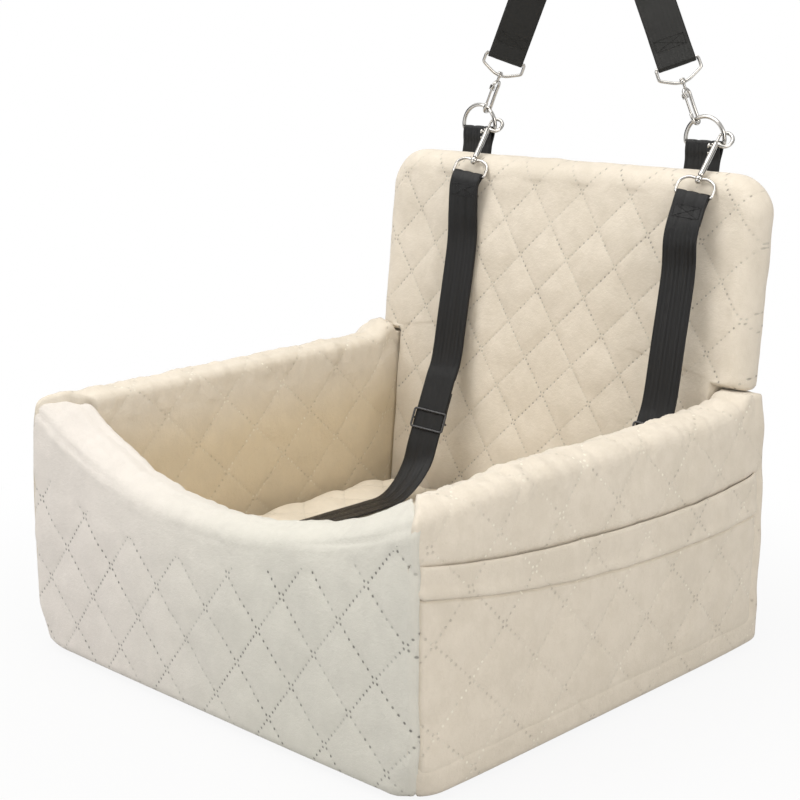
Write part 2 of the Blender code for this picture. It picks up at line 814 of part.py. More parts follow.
def build_snaps():
    for side in ("left", "right"):
        for level, frames in (("upper", upper_frames(side)), ("lower", lower_frames(side))):
            body, eye = frames
            name = side + "_" + level
            swivel = eye.translation
            add_part(name + "_eye", placed(eye_solid(), eye), "nickel", swivel)
            add_part(name + "_snap", placed(snap_body(), body), "nickel", swivel)
            add_part(name + "_bolt", placed(bolt_solid(), body), "nickel", body @ Vector((0, BOLT_KNOB, 0)))


# Webbing

class Route:
    """Smooth line through chosen points, read by its length, with a width direction at each place."""

    def __init__(self, points, width_at, steps=12):
        ends = [points[0] * 2 - points[1]] + points + [points[-1] * 2 - points[-2]]
        self.points = [points[0]]
        for a, b, c, d in zip(ends, ends[1:], ends[2:], ends[3:]):
            for k in range(1, steps + 1):
                t = k / steps
                curve = 2 * b + (c - a) * t + (2 * a - 5 * b + 4 * c - d) * t ** 2
                self.points.append((curve + (3 * b - a - 3 * c + d) * t ** 3) / 2)
        self.lengths = [0]
        for a, b in zip(self.points, self.points[1:]):
            self.lengths.append(self.lengths[-1] + (b - a).length)
        self.length = self.lengths[-1]
        self.width_at = width_at

    def spot(self, s):
        """Place on the line. Past either end it runs straight on."""
        i = 0
        while i < len(self.points) - 2 and self.lengths[i + 1] < s:
            i += 1
        a, b = self.points[i], self.points[i + 1]
        return a + (b - a) * (s - self.lengths[i]) / (self.lengths[i + 1] - self.lengths[i])

    def axes(self, s):
        """Direction, width and face at a place."""
        along = (self.spot(s + 0.001) - self.spot(s - 0.001)).normalized()
        wide = self.width_at(self.spot(s))
        wide = (wide - wide.dot(along) * along).normalized()
        return along, wide, along.cross(wide)

    def near(self, z):
        """Length at which the line first comes down to a height."""
        for point, length in zip(self.points, self.lengths):
            if point.z <= z:
                return length
        return self.length


def strip(route, layers, width, cloth):
    """Flat webbing through (length, height over the line) pairs."""
    centres = [route.spot(s) + route.axes(s)[2] * n for s, n in layers]
    sections = []
    for (s, n), centre, along in zip(layers, centres, tangents(centres)):
        wide = route.axes(s)[1]
        wide = (wide - wide.dot(along) * along).normalized() * width / 2
        thick = along.cross(wide).normalized() * cloth / 2
        sections.append([centre - wide - thick, centre + wide - thick, centre + wide + thick, centre - wide + thick])
    return loft(sections)


def turn_points(s, n, radius, start, end, steps=6):
    """Half turn of the webbing round a bar."""
    return [(s + dx, n + dn) for dx, dn in arc((0, 0), radius, start, end, steps)]


def run_points(start, end, n_start, n_end, step=0.011):
    count = max(2, round(abs(end - start) / step))
    return [(start + (end - start) * k / count, n_start + (n_end - n_start) * k / count) for k in range(count + 1)]


def tether_route(side):
    x = tether_x(side)
    shift = TETHER_SHIFT[side]
    upper = upper_frames(side)[1] @ Vector((0, -EYE_DROP, 0))
    lower = lower_frames(side)[1] @ Vector((0, -EYE_DROP, 0))
    rest = cushion_top(abs(x) - TETHER_WIDTH / 2, 0) + GAP + LAYER_SPACE + TETHER_CLOTH / 2
    straight = [(TETHER_TOP[0] + (TETHER_FOOT[0] - TETHER_TOP[0]) * k / 5,
                 TETHER_TOP[1] + (TETHER_FOOT[1] - TETHER_TOP[1]) * k / 5) for k in range(6)]
    hanging = [(0.2140, 0.398), (0.2125, 0.362), (0.2000, 0.295)] + straight + [(0.1260, 0.1140)]
    eye = upper_frames(side)[1].to_3x3()
    points = [upper, upper - eye @ Vector((0, 0.013, 0))] + [Vector((x, y + shift, z)) for y, z in hanging]
    points += [Vector((x, y + shift, rest + rise)) for y, rise in ((0.104, 0.0015), (0.078, 0), (0.030, 0))]
    points += [Vector((x, lower.y + 0.020, rest)), lower]

    def width_at(point):
        hanging_width = turned(blend(point.z, [(0.105, 0), (0.145, 1.4 * EYE_TURN), (upper.z, EYE_TURN)]))
        share = blend(point.z, [(upper.z - 0.060, 0), (upper.z - 0.012, 1)])
        return hanging_width.lerp(eye @ Vector((1, 0, 0)), share)

    return Route(points, width_at)


def tether_layers(route, slider):
    """Main run with a sewn loop at its far end and a second layer back to the slider at its near end."""
    turn = EYE_WIRE + GAP + TETHER_CLOTH / 2
    ease = (turn + LAYER_SPACE) / 2
    layers = run_points(slider - 0.014, 0.014, -LAYER_SPACE, -LAYER_SPACE) + [(0.007, -ease)]
    layers += [(-s, n) for s, n in turn_points(0, 0, turn, -90, 90)] + [(0.007, ease)]
    layers += run_points(0.014, route.length - 0.014, LAYER_SPACE, LAYER_SPACE) + [(route.length - 0.007, ease)]
    layers += turn_points(route.length, 0, turn, 90, -90) + [(route.length - 0.007, -ease)]
    layers += run_points(route.length - 0.014, route.length - SEWN_TAIL, -LAYER_SPACE, -LAYER_SPACE)
    return layers


def tail_layers(slider):
    """Sewn end of the webbing, round the slider's middle bar."""
    turn = SLIDER_WIRE + GAP + TETHER_CLOTH / 2
    bar = -LAYER_SPACE - turn
    back = -LAYER_SPACE - TETHER_CLOTH - GAP
    layers = [(slider - 0.009, -LAYER_SPACE), (slider - 0.0045, -LAYER_SPACE)]
    layers += turn_points(slider, bar, turn, 90, -90)
    layers += [(slider - 0.005, bar - 0.0016), (slider - 0.010, back - 0.0009), (slider - 0.0145, back)]
    layers += run_points(slider - 0.019, slider - TAIL_LEG, back, back)
    return layers


def slider_solid(width, cloth_half, wire, half_length):
    """Three-bar slider: two bars in front of the webbing and one behind it. x is across, z is in front."""
    out = cloth_half + GAP + wire
    half = width / 2 + 2 * GAP + wire
    bend = 0.002
    outline = []
    for sx, sy, start in ((1, 1, 0), (-1, 1, 90), (-1, -1, 180), (1, -1, 270)):
        middle = (sx * (half - bend), sy * (half_length - bend))
        outline += arc(middle, bend, start, start + 90, 2)
    rim = tube([(x, y, out) for x, y in outline], wire, (0, 0, 1), 8, closed=True)
    bar = tube([(-half, 0, out), (-half, 0, -out), (half, 0, -out), (half, 0, out)], wire * 0.98, (0, 1, 0), 8)
    return join(rim, bar)


def build_tethers():
    for side in ("left", "right"):
        route = tether_route(side)
        place = route.near(SLIDER_Z[side])
        if side == "left":
            layers = tether_layers(route, place)
            tail = tail_layers(place)
        else:
            layers = [(route.length - s, n) for s, n in tether_layers(route, route.length - place)]
            tail = [(2 * place - s, n) for s, n in tail_layers(place)]
        along, wide, face = route.axes(place)
        matrix = frame_matrix(route.spot(place), wide, -along)
        slider = slider_solid(TETHER_WIDTH, LAYER_SPACE + TETHER_CLOTH / 2, SLIDER_WIRE, SLIDER_HALF)
        webbing = strip(route, layers, TETHER_WIDTH, TETHER_CLOTH)
        add_part(side + "_tether_webbing", webbing, "webbing", route.spot(0))
        add_part(side + "_tether_slider", placed(slider, matrix), "black_steel", route.spot(place))
        add_part(side + "_tether_tail", strip(route, tail, TETHER_WIDTH, TETHER_CLOTH), "webbing", route.spot(place))
        print(side, "tether", round(route.length, 3), "slider at", [round(v, 5) for v in route.spot(place)],
              "down", [round(v, 5) for v in along])


# Head sling

def sling_up(side):
    sign = 1 if side == "left" else -1
    return Vector((sign * math.sin(SLING_LEAN), 0, math.cos(SLING_LEAN)))


def sling_frames(side):
    """Frames of the hook, whose x is towards the front, and of the wire loop above it."""
    sign = 1 if side == "left" else -1
    up = sling_up(side)
    rise = math.sqrt(RING_RADIUS ** 2 - SLING_HOOK_IN ** 2)
    touch = Vector((ring_x(side) + sign * SLING_HOOK_IN, RING_PLANE, RING_BAR_Z + RING_LEG + rise))
    bottom = touch - up * (RING_WIRE + HOOK_WIRE + 2 * GAP)
    hook = frame_matrix(bottom, (0, -1, 0), up)
    loop = frame_matrix(bottom + up * LOOP_COLLAR, turned(), up)
    return touch, hook, loop


def head_hook_solid():
    top = HOOK_LENGTH - HOOK_HALF
    path = [(HOOK_HALF, GATE_HINGE - 0.0015)]
    path += arc((0, top), HOOK_HALF, 0, 180, 6)
    path += arc((0, HOOK_HALF), HOOK_HALF, 180, 360, 7) + [(HOOK_HALF, HOOK_NOSE)]
    body = tube(flat(path), HOOK_WIRE, (0, 0, 1), 8)
    stem = rod((0, HOOK_LENGTH, 0), (0, LOOP_COLLAR + 0.003, 0), 0.0015, 10)
    head = rod((0, LOOP_COLLAR + 0.0023, 0), (0, LOOP_COLLAR + 0.0041, 0), (0.0027, 0.0019), 12)
    body = join(body, join(stem, head))
    reach = 2 * HOOK_WIRE
    return cut(body, rod((HOOK_HALF, GATE_HINGE, -reach), (HOOK_HALF, GATE_HINGE, reach), 0.0009, 10))


def gate_solid():
    cheek = HOOK_WIRE + GAP
    thick = 0.0008
    outside = cheek + thick
    x0 = HOOK_HALF - GATE_BAR
    x1 = HOOK_HALF + GATE_BAR
    gate = rod((HOOK_HALF, HOOK_NOSE + 0.0004, 0), (HOOK_HALF, GATE_HINGE - 0.003, 0), GATE_BAR, 8)
    gate = join(gate, box((x0, GATE_HINGE - 0.0038, -outside), (x1, GATE_HINGE - 0.0023, outside)))
    for low, high in ((-outside, -cheek), (cheek, outside)):
        gate = join(gate, box((x0 - 0.0001, GATE_HINGE - 0.0036, low), (x1 + 0.0001, GATE_HINGE + 0.0016, high)))
    pin = rod((HOOK_HALF, GATE_HINGE, -outside + 0.0003), (HOOK_HALF, GATE_HINGE, outside - 0.0003), 0.0006, 10)
    return join(gate, pin)


def head_loop_solid():
    half = [(-0.0028, 0), (-0.0075, 0.0012), (-0.0160, 0.0054), (-LOOP_HALF + 0.001, LOOP_HEIGHT - LOOP_SIDE - 0.001)]
    half += [(-LOOP_HALF, LOOP_HEIGHT - LOOP_SIDE + 0.001), (-LOOP_HALF, LOOP_HEIGHT - 0.0024)]
    half += [(-LOOP_HALF + 0.0008, LOOP_HEIGHT - 0.0008), (-LOOP_HALF + 0.0024, LOOP_HEIGHT)]
    collar = 0.0019
    loop = join(rod((0, -collar, 0), (0, collar, 0), 0.0033, 14), tube(flat(mirrored(half)), LOOP_WIRE, (0, 0, 1), 8))
    return cut(loop, rod((0, -2 * collar, 0), (0, 2 * collar, 0), 0.00185, 14))


def sling_route():
    start = sling_frames("left")[2] @ Vector((0, LOOP_HEIGHT, 0))
    up = sling_up("left")
    bend_z = SLING_TOP_Z - SLING_TOP_BEND * (1 - math.sin(SLING_LEAN))
    climb = (bend_z - start.z) / up.z
    half = [start + up * climb * k / 6 for k in range(7)]
    corner = half[-1]
    middle = (corner.x + SLING_TOP_BEND * math.cos(SLING_LEAN), SLING_TOP_Z - SLING_TOP_BEND)
    bend = arc(middle, SLING_TOP_BEND, 180 - math.degrees(SLING_LEAN), 90, 4)
    half += [Vector((x, RING_PLANE, z)) for x, z in bend[1:]]
    other = [Vector((2 * RING_MIDDLE - p.x, p.y, p.z)) for p in reversed(half)]
    flat_top = [half[-1].lerp(other[0], k / 4) for k in (1, 2, 3)]

    def width_at(point):
        share = max(0, min(1, (point.z - 0.640) / (SLING_TOP_Z - 0.004 - 0.640)))
        return turned(FACE_TURN + (math.pi / 2 - FACE_TURN) * share)

    return Route(half + flat_top + other, width_at)


def sling_layers(route):
    """One layer, folded back and sewn at each wire loop with its end on the rear side."""
    turn = LOOP_WIRE + GAP + SLING_CLOTH / 2
    space = (SLING_CLOTH + GAP) / 2
    ease = (turn + space) / 2
    long = route.length
    layers = run_points(SEWN_TAIL, 0.016, space, space) + [(0.008, ease)]
    layers += [(-s, n) for s, n in turn_points(0, 0, turn, 90, -90)] + [(0.008, -ease)]
    layers += run_points(0.016, 0.045, -space, -space) + run_points(0.065, long - 0.065, 0, 0)
    layers += run_points(long - 0.045, long - 0.016, space, space) + [(long - 0.008, ease)]
    layers += turn_points(long, 0, turn, 90, -90) + [(long - 0.008, -ease)]
    layers += run_points(long - 0.016, long - SEWN_TAIL, -space, -space)
    return layers


def build_sling():
    for side in ("left", "right"):
        touch, hook, loop = sling_frames(side)
        collar = loop.translation
        add_part(side + "_head_hook", placed(head_hook_solid(), hook), "nickel", collar)
        hinge = hook @ Vector((HOOK_HALF, GATE_HINGE, 0))
        add_part(side + "_head_gate", placed(gate_solid(), hook), "nickel", hinge)
        add_part(side + "_head_loop", placed(head_loop_solid(), loop), "nickel", touch)
        print(side, "touch", [round(v, 5) for v in touch], "gate", [round(v, 5) for v in hinge],
              "collar", [round(v, 5) for v in collar])
    route = sling_route()
    add_part("head_strap", strip(route, sling_layers(route), SLING_WIDTH, SLING_CLOTH), "webbing",
             sling_frames("left")[0])
    middle = route.length / 2
    along, wide, face = route.axes(middle)
    slider = slider_solid(SLING_WIDTH, SLING_CLOTH / 2, 0.0015, 0.012)
    add_part("head_slider", placed(slider, frame_matrix(route.spot(middle), wide, -along)), "black_steel",
             route.spot(middle))
    print("sling", round(route.length, 3))


clear_scene()
build_base()
build_walls()
build_pocket()
build_backrest()
build_cushion()
build_rings()
build_snaps()
build_tethers()
build_sling()
for side in ("left", "right"):
    for label, (body, eye) in (("upper", upper_frames(side)), ("lower", lower_frames(side))):
        print(side, label, "swivel", [round(v, 5) for v in eye.translation],
              "shank", [round(v, 5) for v in body.to_3x3() @ Vector((0, 1, 0))])
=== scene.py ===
import math

import bpy
import bmesh
import numpy as np
from mathutils import Matrix, Vector, noise


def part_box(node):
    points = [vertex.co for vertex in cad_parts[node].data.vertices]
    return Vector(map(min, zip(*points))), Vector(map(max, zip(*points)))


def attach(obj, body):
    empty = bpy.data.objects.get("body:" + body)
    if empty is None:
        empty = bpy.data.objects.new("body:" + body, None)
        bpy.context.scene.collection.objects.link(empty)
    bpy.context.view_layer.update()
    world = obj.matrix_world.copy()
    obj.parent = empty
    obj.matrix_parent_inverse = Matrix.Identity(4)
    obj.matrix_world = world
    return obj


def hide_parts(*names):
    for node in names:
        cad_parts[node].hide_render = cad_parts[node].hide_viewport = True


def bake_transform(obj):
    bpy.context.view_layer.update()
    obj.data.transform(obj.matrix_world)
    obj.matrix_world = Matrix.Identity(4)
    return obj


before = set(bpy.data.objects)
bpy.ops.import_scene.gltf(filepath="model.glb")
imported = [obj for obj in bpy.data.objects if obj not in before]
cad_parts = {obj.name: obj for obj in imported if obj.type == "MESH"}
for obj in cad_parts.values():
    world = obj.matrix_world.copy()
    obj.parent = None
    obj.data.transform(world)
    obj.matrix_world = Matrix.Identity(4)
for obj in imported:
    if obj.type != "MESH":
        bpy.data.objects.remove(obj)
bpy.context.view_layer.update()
print("frame loaded")


# Camera

cameraData = {
    "place": (1.0690, -1.1083, 0.6104),
    "pitch": 13.3,
    "turn": 43.912,
    "lens": 74.80,
}


def makeCamera(p):
    cam = bpy.data.cameras.new("photoCamera")
    cam.lens = p["lens"]
    cam.sensor_width = 36
    obj = bpy.data.objects.new("photoCamera", cam)
    obj.location = p["place"]
    obj.rotation_euler = (math.radians(90 - p["pitch"]), 0, math.radians(p["turn"]))
    bpy.context.scene.collection.objects.link(obj)
    bpy.context.scene.camera = obj


makeCamera(cameraData)


# Node helpers for the materials

def newFinish(name, colour, roughness, metallic=0.0, sheen=0.0):
    mat = bpy.data.materials.new(name)
    mat.use_nodes = True
    shader = mat.node_tree.nodes["Principled BSDF"]
    shader.inputs["Base Color"].default_value = (*colour, 1)
    shader.inputs["Roughness"].default_value = roughness
    shader.inputs["Metallic"].default_value = metallic
    if sheen:
        shader.inputs["Sheen Weight"].default_value = sheen
        shader.inputs["Sheen Roughness"].default_value = 0.45
        shader.inputs["Sheen Tint"].default_value = (1.0, 0.97, 0.92, 1)
    return mat, shader


def wire(mat, value, socket):
    if isinstance(value, (int, float)):
        socket.default_value = value
    else:
        mat.node_tree.links.new(value, socket)


def addNode(mat, kind):
    return mat.node_tree.nodes.new("ShaderNode" + kind)


def calc(mat, operation, a, b=0.0):
    node = addNode(mat, "Math")
    node.operation = operation
    wire(mat, a, node.inputs[0])
    wire(mat, b, node.inputs[1])
    return node.outputs[0]


def span(mat, value, low, high, outLow=0.0, outHigh=1.0):
    node = addNode(mat, "MapRange")
    node.interpolation_type = "SMOOTHSTEP"
    wire(mat, value, node.inputs["Value"])
    node.inputs["From Min"].default_value = low
    node.inputs["From Max"].default_value = high
    node.inputs["To Min"].default_value = outLow
    node.inputs["To Max"].default_value = outHigh
    return node.outputs["Result"]


def grain(mat, vector, scale, detail=3.0, roughness=0.55):
    node = addNode(mat, "TexNoise")
    wire(mat, vector, node.inputs["Vector"])
    node.inputs["Scale"].default_value = scale
    node.inputs["Detail"].default_value = detail
    node.inputs["Roughness"].default_value = roughness
    return node.outputs["Fac"]


def stretched(mat, vector, scale):
    node = addNode(mat, "Mapping")
    wire(mat, vector, node.inputs["Vector"])
    node.inputs["Scale"].default_value = scale
    return node.outputs["Vector"]


def tint(mat, fac, dark, light):
    node = addNode(mat, "Mix")
    node.data_type = "RGBA"
    wire(mat, fac, node.inputs["Factor"])
    for socket, colour in ((node.inputs[6], dark), (node.inputs[7], light)):
        if isinstance(colour, tuple):
            socket.default_value = (*colour, 1)
        else:
            wire(mat, colour, socket)
    return node.outputs[2]


def relief(mat, height, strength, distance, normal=None):
    node = addNode(mat, "Bump")
    node.inputs["Strength"].default_value = strength
    node.inputs["Distance"].default_value = distance
    wire(mat, height, node.inputs["Height"])
    if normal:
        wire(mat, normal, node.inputs["Normal"])
    return node.outputs["Normal"]


def places(mat):
    coords = addNode(mat, "TexCoord")
    return coords.outputs["Object"], coords.outputs["UV"]


def axisParts(mat, vector):
    split = addNode(mat, "SeparateXYZ")
    wire(mat, vector, split.inputs[0])
    return split.outputs


def shaderMix(mat, share, first, second):
    mix = addNode(mat, "MixShader")
    for value, socket in zip((share, first, second), mix.inputs):
        wire(mat, value, socket)
    return mix.outputs[0]


def scaled(colour, share, lift=0.0):
    return tuple(min(1, c * share + lift) for c in colour)


def linear(r, g, b):
    return tuple(((c / 255 + 0.055) / 1.055) ** 2.4 for c in (r, g, b))


# Velvet: short pile, cloudy brushed patches, and rows of needle holes where it is quilted, with painted shade
# in the holes and sewn valleys and painted glints on some holes

velvetData = {
    "pile": 0.00020,
    "brushed": 0.035,
    "holesPerSide": 8,
    "holeSize": 0.00085,
    "lineSpace": (0.046, 0.052),
    "holeStep": 0.0063,
    # shadedZ: heights over which the painted shade low inside the box fades into the plain tone. leftwardX:
    # span over which the painted light at the front's left end fades out
    "shadedZ": (0.165, 0.244),
    "leftwardX": (-0.20, 0.12),
}


# Round marks on each whole number of across, spaced evenly in along
def needleRow(mat, across, along, space, p):
    off = calc(mat, "FRACT", calc(mat, "ADD", across, 100.5))
    off = calc(mat, "ABSOLUTE", calc(mat, "SUBTRACT", off, 0.5))
    near = calc(mat, "SUBTRACT", 0.5, off)
    off = calc(mat, "MULTIPLY", off, space)
    step = calc(mat, "FRACT", calc(mat, "MULTIPLY", calc(mat, "ADD", along, 100.0), p["holesPerSide"]))
    step = calc(mat, "MULTIPLY", calc(mat, "SUBTRACT", step, 0.5), p["holeStep"])
    reach = calc(mat, "ADD", calc(mat, "MULTIPLY", off, off), calc(mat, "MULTIPLY", step, step))
    reach = calc(mat, "SQRT", reach)
    hole = span(mat, reach, p["holeSize"] * 0.7, p["holeSize"] * 1.7, 1.0, 0.0)
    valley = span(mat, off, 0.0, 0.0035, 1.0, 0.0)
    return hole, valley, near


# shown: how much of the rows can be seen. lit: painted glints, rows that catch the light instead of going
# dark.
# shaded: painted shade, a deeper tan low down inside the box. leftward: painted light, a lighter tone at the
# left end
def velvet(name, colour, p, shown=0.0, lit=0.0, shaded=None, leftward=None):
    mat, shader = newFinish(name, colour, 0.88, sheen=0.22)
    place, uv = places(mat)
    cloud = grain(mat, place, 17, 3, 0.55)
    brushed = grain(mat, stretched(mat, place, (1.0, 1.0, 0.7)), 75, 4, 0.65)
    fuzz = grain(mat, place, 1100, 3, 0.7)
    nap = grain(mat, place, 270, 2, 0.6)
    if shaded or leftward:
        spot = axisParts(mat, place)
        if shaded:
            # painted shade: inside the box the cloth turns to the deeper shaded tone low down
            base = tint(mat, span(mat, spot["Z"], *p["shadedZ"]), shaded, colour)
        else:
            # painted light: the cloth turns to the lighter leftward tone towards the left end
            base = tint(mat, span(mat, spot["X"], *p["leftwardX"]), leftward, colour)
        dark = tint(mat, 0.10, base, scaled(colour, 0.4))
    else:
        base = colour
        dark = tuple(c * (1 - p["brushed"] * 2.2) * w for c, w in zip(colour, (1, 0.995, 0.98)))
    tone = calc(mat, "ADD", calc(mat, "MULTIPLY", cloud, 0.5), calc(mat, "MULTIPLY", brushed, 0.5))
    shade = tint(mat, span(mat, tone, 0.36, 0.62), dark, base)
    shade = tint(mat, span(mat, fuzz, 0.28, 0.48, 0.16, 0.0), shade, scaled(colour, 0.70))
    height = calc(mat, "ADD", calc(mat, "MULTIPLY", fuzz, 0.8), calc(mat, "MULTIPLY", brushed, 0.7))
    height = calc(mat, "ADD", height, calc(mat, "MULTIPLY", nap, 1.3))
    normal = relief(mat, height, 0.6, p["pile"] * 3)
    if shown:
        m, n = axisParts(mat, uv)[:2]
        holeM, valleyM, nearM = needleRow(mat, m, n, p["lineSpace"][0], p)
        holeN, valleyN, nearN = needleRow(mat, n, m, p["lineSpace"][1], p)
        crossing = span(mat, calc(mat, "MINIMUM", nearM, nearN), 0.34, 0.48, 0.0, 1.0)
        fade = span(mat, grain(mat, place, 21, 2), 0.40, 0.60, 0.35, 1.0)
        fade = calc(mat, "MAXIMUM", fade, crossing)
        holes = calc(mat, "MULTIPLY", calc(mat, "MAXIMUM", holeM, holeN), fade)
        valley = calc(mat, "MAXIMUM", valleyM, valleyN)
        if lit:
            # painted highlight: in patches the needle holes are tinted brighter than the cloth, as glints,
            # and lose part of their painted shade
            patch = grain(mat, place, 60, 2)
            bright = calc(mat, "MULTIPLY", holes, span(mat, patch, 0.42, 0.60, 0.0, lit))
            shade = tint(mat, bright, shade, scaled(colour, 1.35, 0.08))
            holes = calc(mat, "MULTIPLY", holes, span(mat, patch, 0.42, 0.60, 1.0, 1 - lit))
        # painted shade: the needle holes are tinted dark, and the sewn valleys a little darker
        shade = tint(mat, calc(mat, "MULTIPLY", holes, shown), shade, scaled(colour, 0.20))
        shade = tint(mat, calc(mat, "MULTIPLY", valley, 0.035), shade, scaled(colour, 0.45))
        deep = calc(mat, "ADD", calc(mat, "MULTIPLY", holes, 0.8), calc(mat, "MULTIPLY", valley, 0.22))
        normal = relief(mat, calc(mat, "MULTIPLY", deep, -1.0), 0.7, 0.0010, normal)
    wire(mat, shade, shader.inputs["Base Color"])
    wire(mat, span(mat, cloud, 0.3, 0.7, 0.82, 0.92), shader.inputs["Roughness"])
    wire(mat, normal, shader.inputs["Normal"])
    return mat


weaveData = {"weft": 0.00042, "warp": 0.00052, "twill": 0.0021}


# UV is in metres: across the webbing and along it
def webbingFinish(name, colour, gloss=0.42, shine=0.35):
    mat, shader = newFinish(name, colour, gloss, sheen=0.05)
    shader.inputs["Specular IOR Level"].default_value = shine
    place, uv = places(mat)
    across, along = axisParts(mat, uv)[:2]
    across = calc(mat, "ADD", across, 1.0)
    slant = calc(mat, "ADD", along, calc(mat, "PINGPONG", across, weaveData["twill"]))
    weft = calc(mat, "PINGPONG", calc(mat, "ADD", slant, 10.0), weaveData["weft"])
    weft = calc(mat, "DIVIDE", weft, weaveData["weft"])
    warp = calc(mat, "DIVIDE", calc(mat, "PINGPONG", across, weaveData["warp"]), weaveData["warp"])
    weave = calc(mat, "ADD", calc(mat, "MULTIPLY", weft, 0.6), calc(mat, "MULTIPLY", warp, 0.55))
    lint = grain(mat, place, 260, 3)
    mixed = calc(mat, "ADD", calc(mat, "MULTIPLY", weave, 0.6), calc(mat, "MULTIPLY", lint, 0.4))
    shade = tint(mat, span(mat, mixed, 0.25, 0.95), scaled(colour, 0.45), scaled(colour, 1.7, 0.003))
    wire(mat, shade, shader.inputs["Base Color"])
    wire(mat, span(mat, lint, 0.3, 0.7, gloss - 0.06, gloss + 0.10), shader.inputs["Roughness"])
    wire(mat, relief(mat, weave, 0.55, 0.00030), shader.inputs["Normal"])
    return mat


def metalFinish(name, colour, rough, worn=0.06):
    mat, shader = newFinish(name, colour, rough, 1.0)
    place = places(mat)[0]
    smear = grain(mat, place, 120, 4, 0.6)
    scratch = grain(mat, stretched(mat, place, (1.0, 1.0, 6.0)), 900, 2)
    wire(mat, span(mat, smear, 0.3, 0.7, rough, rough + worn * 2), shader.inputs["Roughness"])
    shade = tint(mat, span(mat, smear, 0.25, 0.6), scaled(colour, 0.86), colour)
    wire(mat, shade, shader.inputs["Base Color"])
    wire(mat, relief(mat, scratch, 0.12, 0.0001), shader.inputs["Normal"])
    return mat


def paintedFinish(name, colour, rough):
    mat, shader = newFinish(name, colour, rough)
    shader.inputs["Specular IOR Level"].default_value = 0.7
    place = places(mat)[0]
    speck = grain(mat, place, 700, 3)
    shade = tint(mat, span(mat, speck, 0.35, 0.7), colour, scaled(colour, 1.7, 0.004))
    wire(mat, shade, shader.inputs["Base Color"])
    wire(mat, span(mat, speck, 0.3, 0.7, rough, rough + 0.12), shader.inputs["Roughness"])
    wire(mat, relief(mat, speck, 0.15, 0.0002), shader.inputs["Normal"])
    return mat


def feltFinish(name, colour, scale, lump):
    mat, shader = newFinish(name, colour, 0.9)
    place = places(mat)[0]
    lumps = grain(mat, place, scale, 5, 0.65)
    shade = tint(mat, span(mat, lumps, 0.3, 0.65), scaled(colour, 0.6), colour)
    wire(mat, shade, shader.inputs["Base Color"])
    wire(mat, relief(mat, lumps, 0.8, lump), shader.inputs["Normal"])
    return mat


# The same cream velvet in a different tone on each face: painted light and shade. frontLeft is painted light
# at the left end of the front, and deep is painted shade low inside the box
litAndShadedTones = {
    "front": linear(211, 209, 199),
    "frontLeft": linear(221, 215, 208),
    "side": linear(220, 211, 196),
    "back": linear(222, 213, 198),
    "deep": linear(214, 199, 171),
    "cushion": linear(228, 218, 200),
}
# painted light: both front copies turn lighter towards the left end of the wall
frontVelvet = velvet("velvetFront", litAndShadedTones["front"], velvetData, shown=0.88, leftward=litAndShadedTones["frontLeft"])
frontPlain = velvet("velvetFrontPlain", litAndShadedTones["front"], velvetData, leftward=litAndShadedTones["frontLeft"])
sideVelvet = velvet("velvetSide", litAndShadedTones["side"], velvetData, shown=0.30, lit=0.75)
backVelvet = velvet("velvetBack", litAndShadedTones["back"], velvetData, shown=0.62, lit=0.35)
# painted shade: the inside faces of the walls take this copy, which turns a deeper tan low down
shadedInnerVelvet = velvet("velvetInnerShaded", litAndShadedTones["side"], velvetData, shown=0.14, lit=0.5, shaded=litAndShadedTones["deep"])
cushionVelvet = velvet("velvetCushion", litAndShadedTones["cushion"], velvetData, shown=0.12)
tetherWeb = webbingFinish("tetherWebbing", linear(9, 9, 10), 0.34)
slingWeb = webbingFinish("slingWebbing", linear(27, 27, 25), 0.55)
nickel = metalFinish("nickelPlate", linear(200, 197, 192), 0.08)
darkSteel = paintedFinish("blackSteel", linear(38, 38, 40), 0.24)
liningCloth = feltFinish("coatedLining", linear(38, 38, 40), 900, 0.0004)
foamFill = feltFinish("openFoam", linear(232, 228, 214), 500, 0.0008)
boardFibre = feltFinish("fibreBoard", linear(150, 122, 86), 300, 0.0004)
print("finishes made")


# Mesh helpers

def meshObject(name, mesh, finishes):
    obj = bpy.data.objects.new(name, mesh)
    bpy.context.scene.collection.objects.link(obj)
    for finish in finishes:
        mesh.materials.append(finish)
    return obj


def builtObject(name, bm, finishes):
    mesh = bpy.data.meshes.new(name)
    bmesh.ops.recalc_face_normals(bm, faces=bm.faces)
    bm.to_mesh(mesh)
    bm.free()
    return meshObject(name, mesh, finishes)


# Closed piece through stations of loop points. uv has one more column than the grid.
# kind: which of the finishes each point's face takes
def gridPiece(name, grid, uv, finishes, kind):
    rows, cols = grid.shape[:2]
    verts = grid.reshape(-1, 3).tolist()
    faces, corners, slots = [], [], []
    for i in range(rows - 1):
        for j in range(cols):
            k = (j + 1) % cols
            faces.append((i * cols + j, i * cols + k, (i + 1) * cols + k, (i + 1) * cols + j))
            corners.append((uv[i][j], uv[i][j + 1], uv[i + 1][j + 1], uv[i + 1][j]))
            slots.append(int(kind[i, j]))
    for i in (0, rows - 1):
        centre = len(verts)
        verts.append(grid[i].mean(axis=0).tolist())
        middle = np.mean([uv[i][j] for j in range(cols)], axis=0)
        for j in range(cols):
            faces.append((i * cols + j, i * cols + (j + 1) % cols, centre))
            corners.append((uv[i][j], uv[i][j + 1], middle))
            slots.append(int(kind[min(i, rows - 2), j]))
    bm = bmesh.new()
    points = [bm.verts.new(v) for v in verts]
    layer = bm.loops.layers.uv.new("clothUv")
    for face, corner, slot in zip(faces, corners, slots):
        made = bm.faces.new([points[i] for i in face])
        made.smooth = True
        made.material_index = slot
        for spot, place in zip(made.loops, corner):
            spot[layer].uv = (float(place[0]), float(place[1]))
    return builtObject(name, bm, finishes)


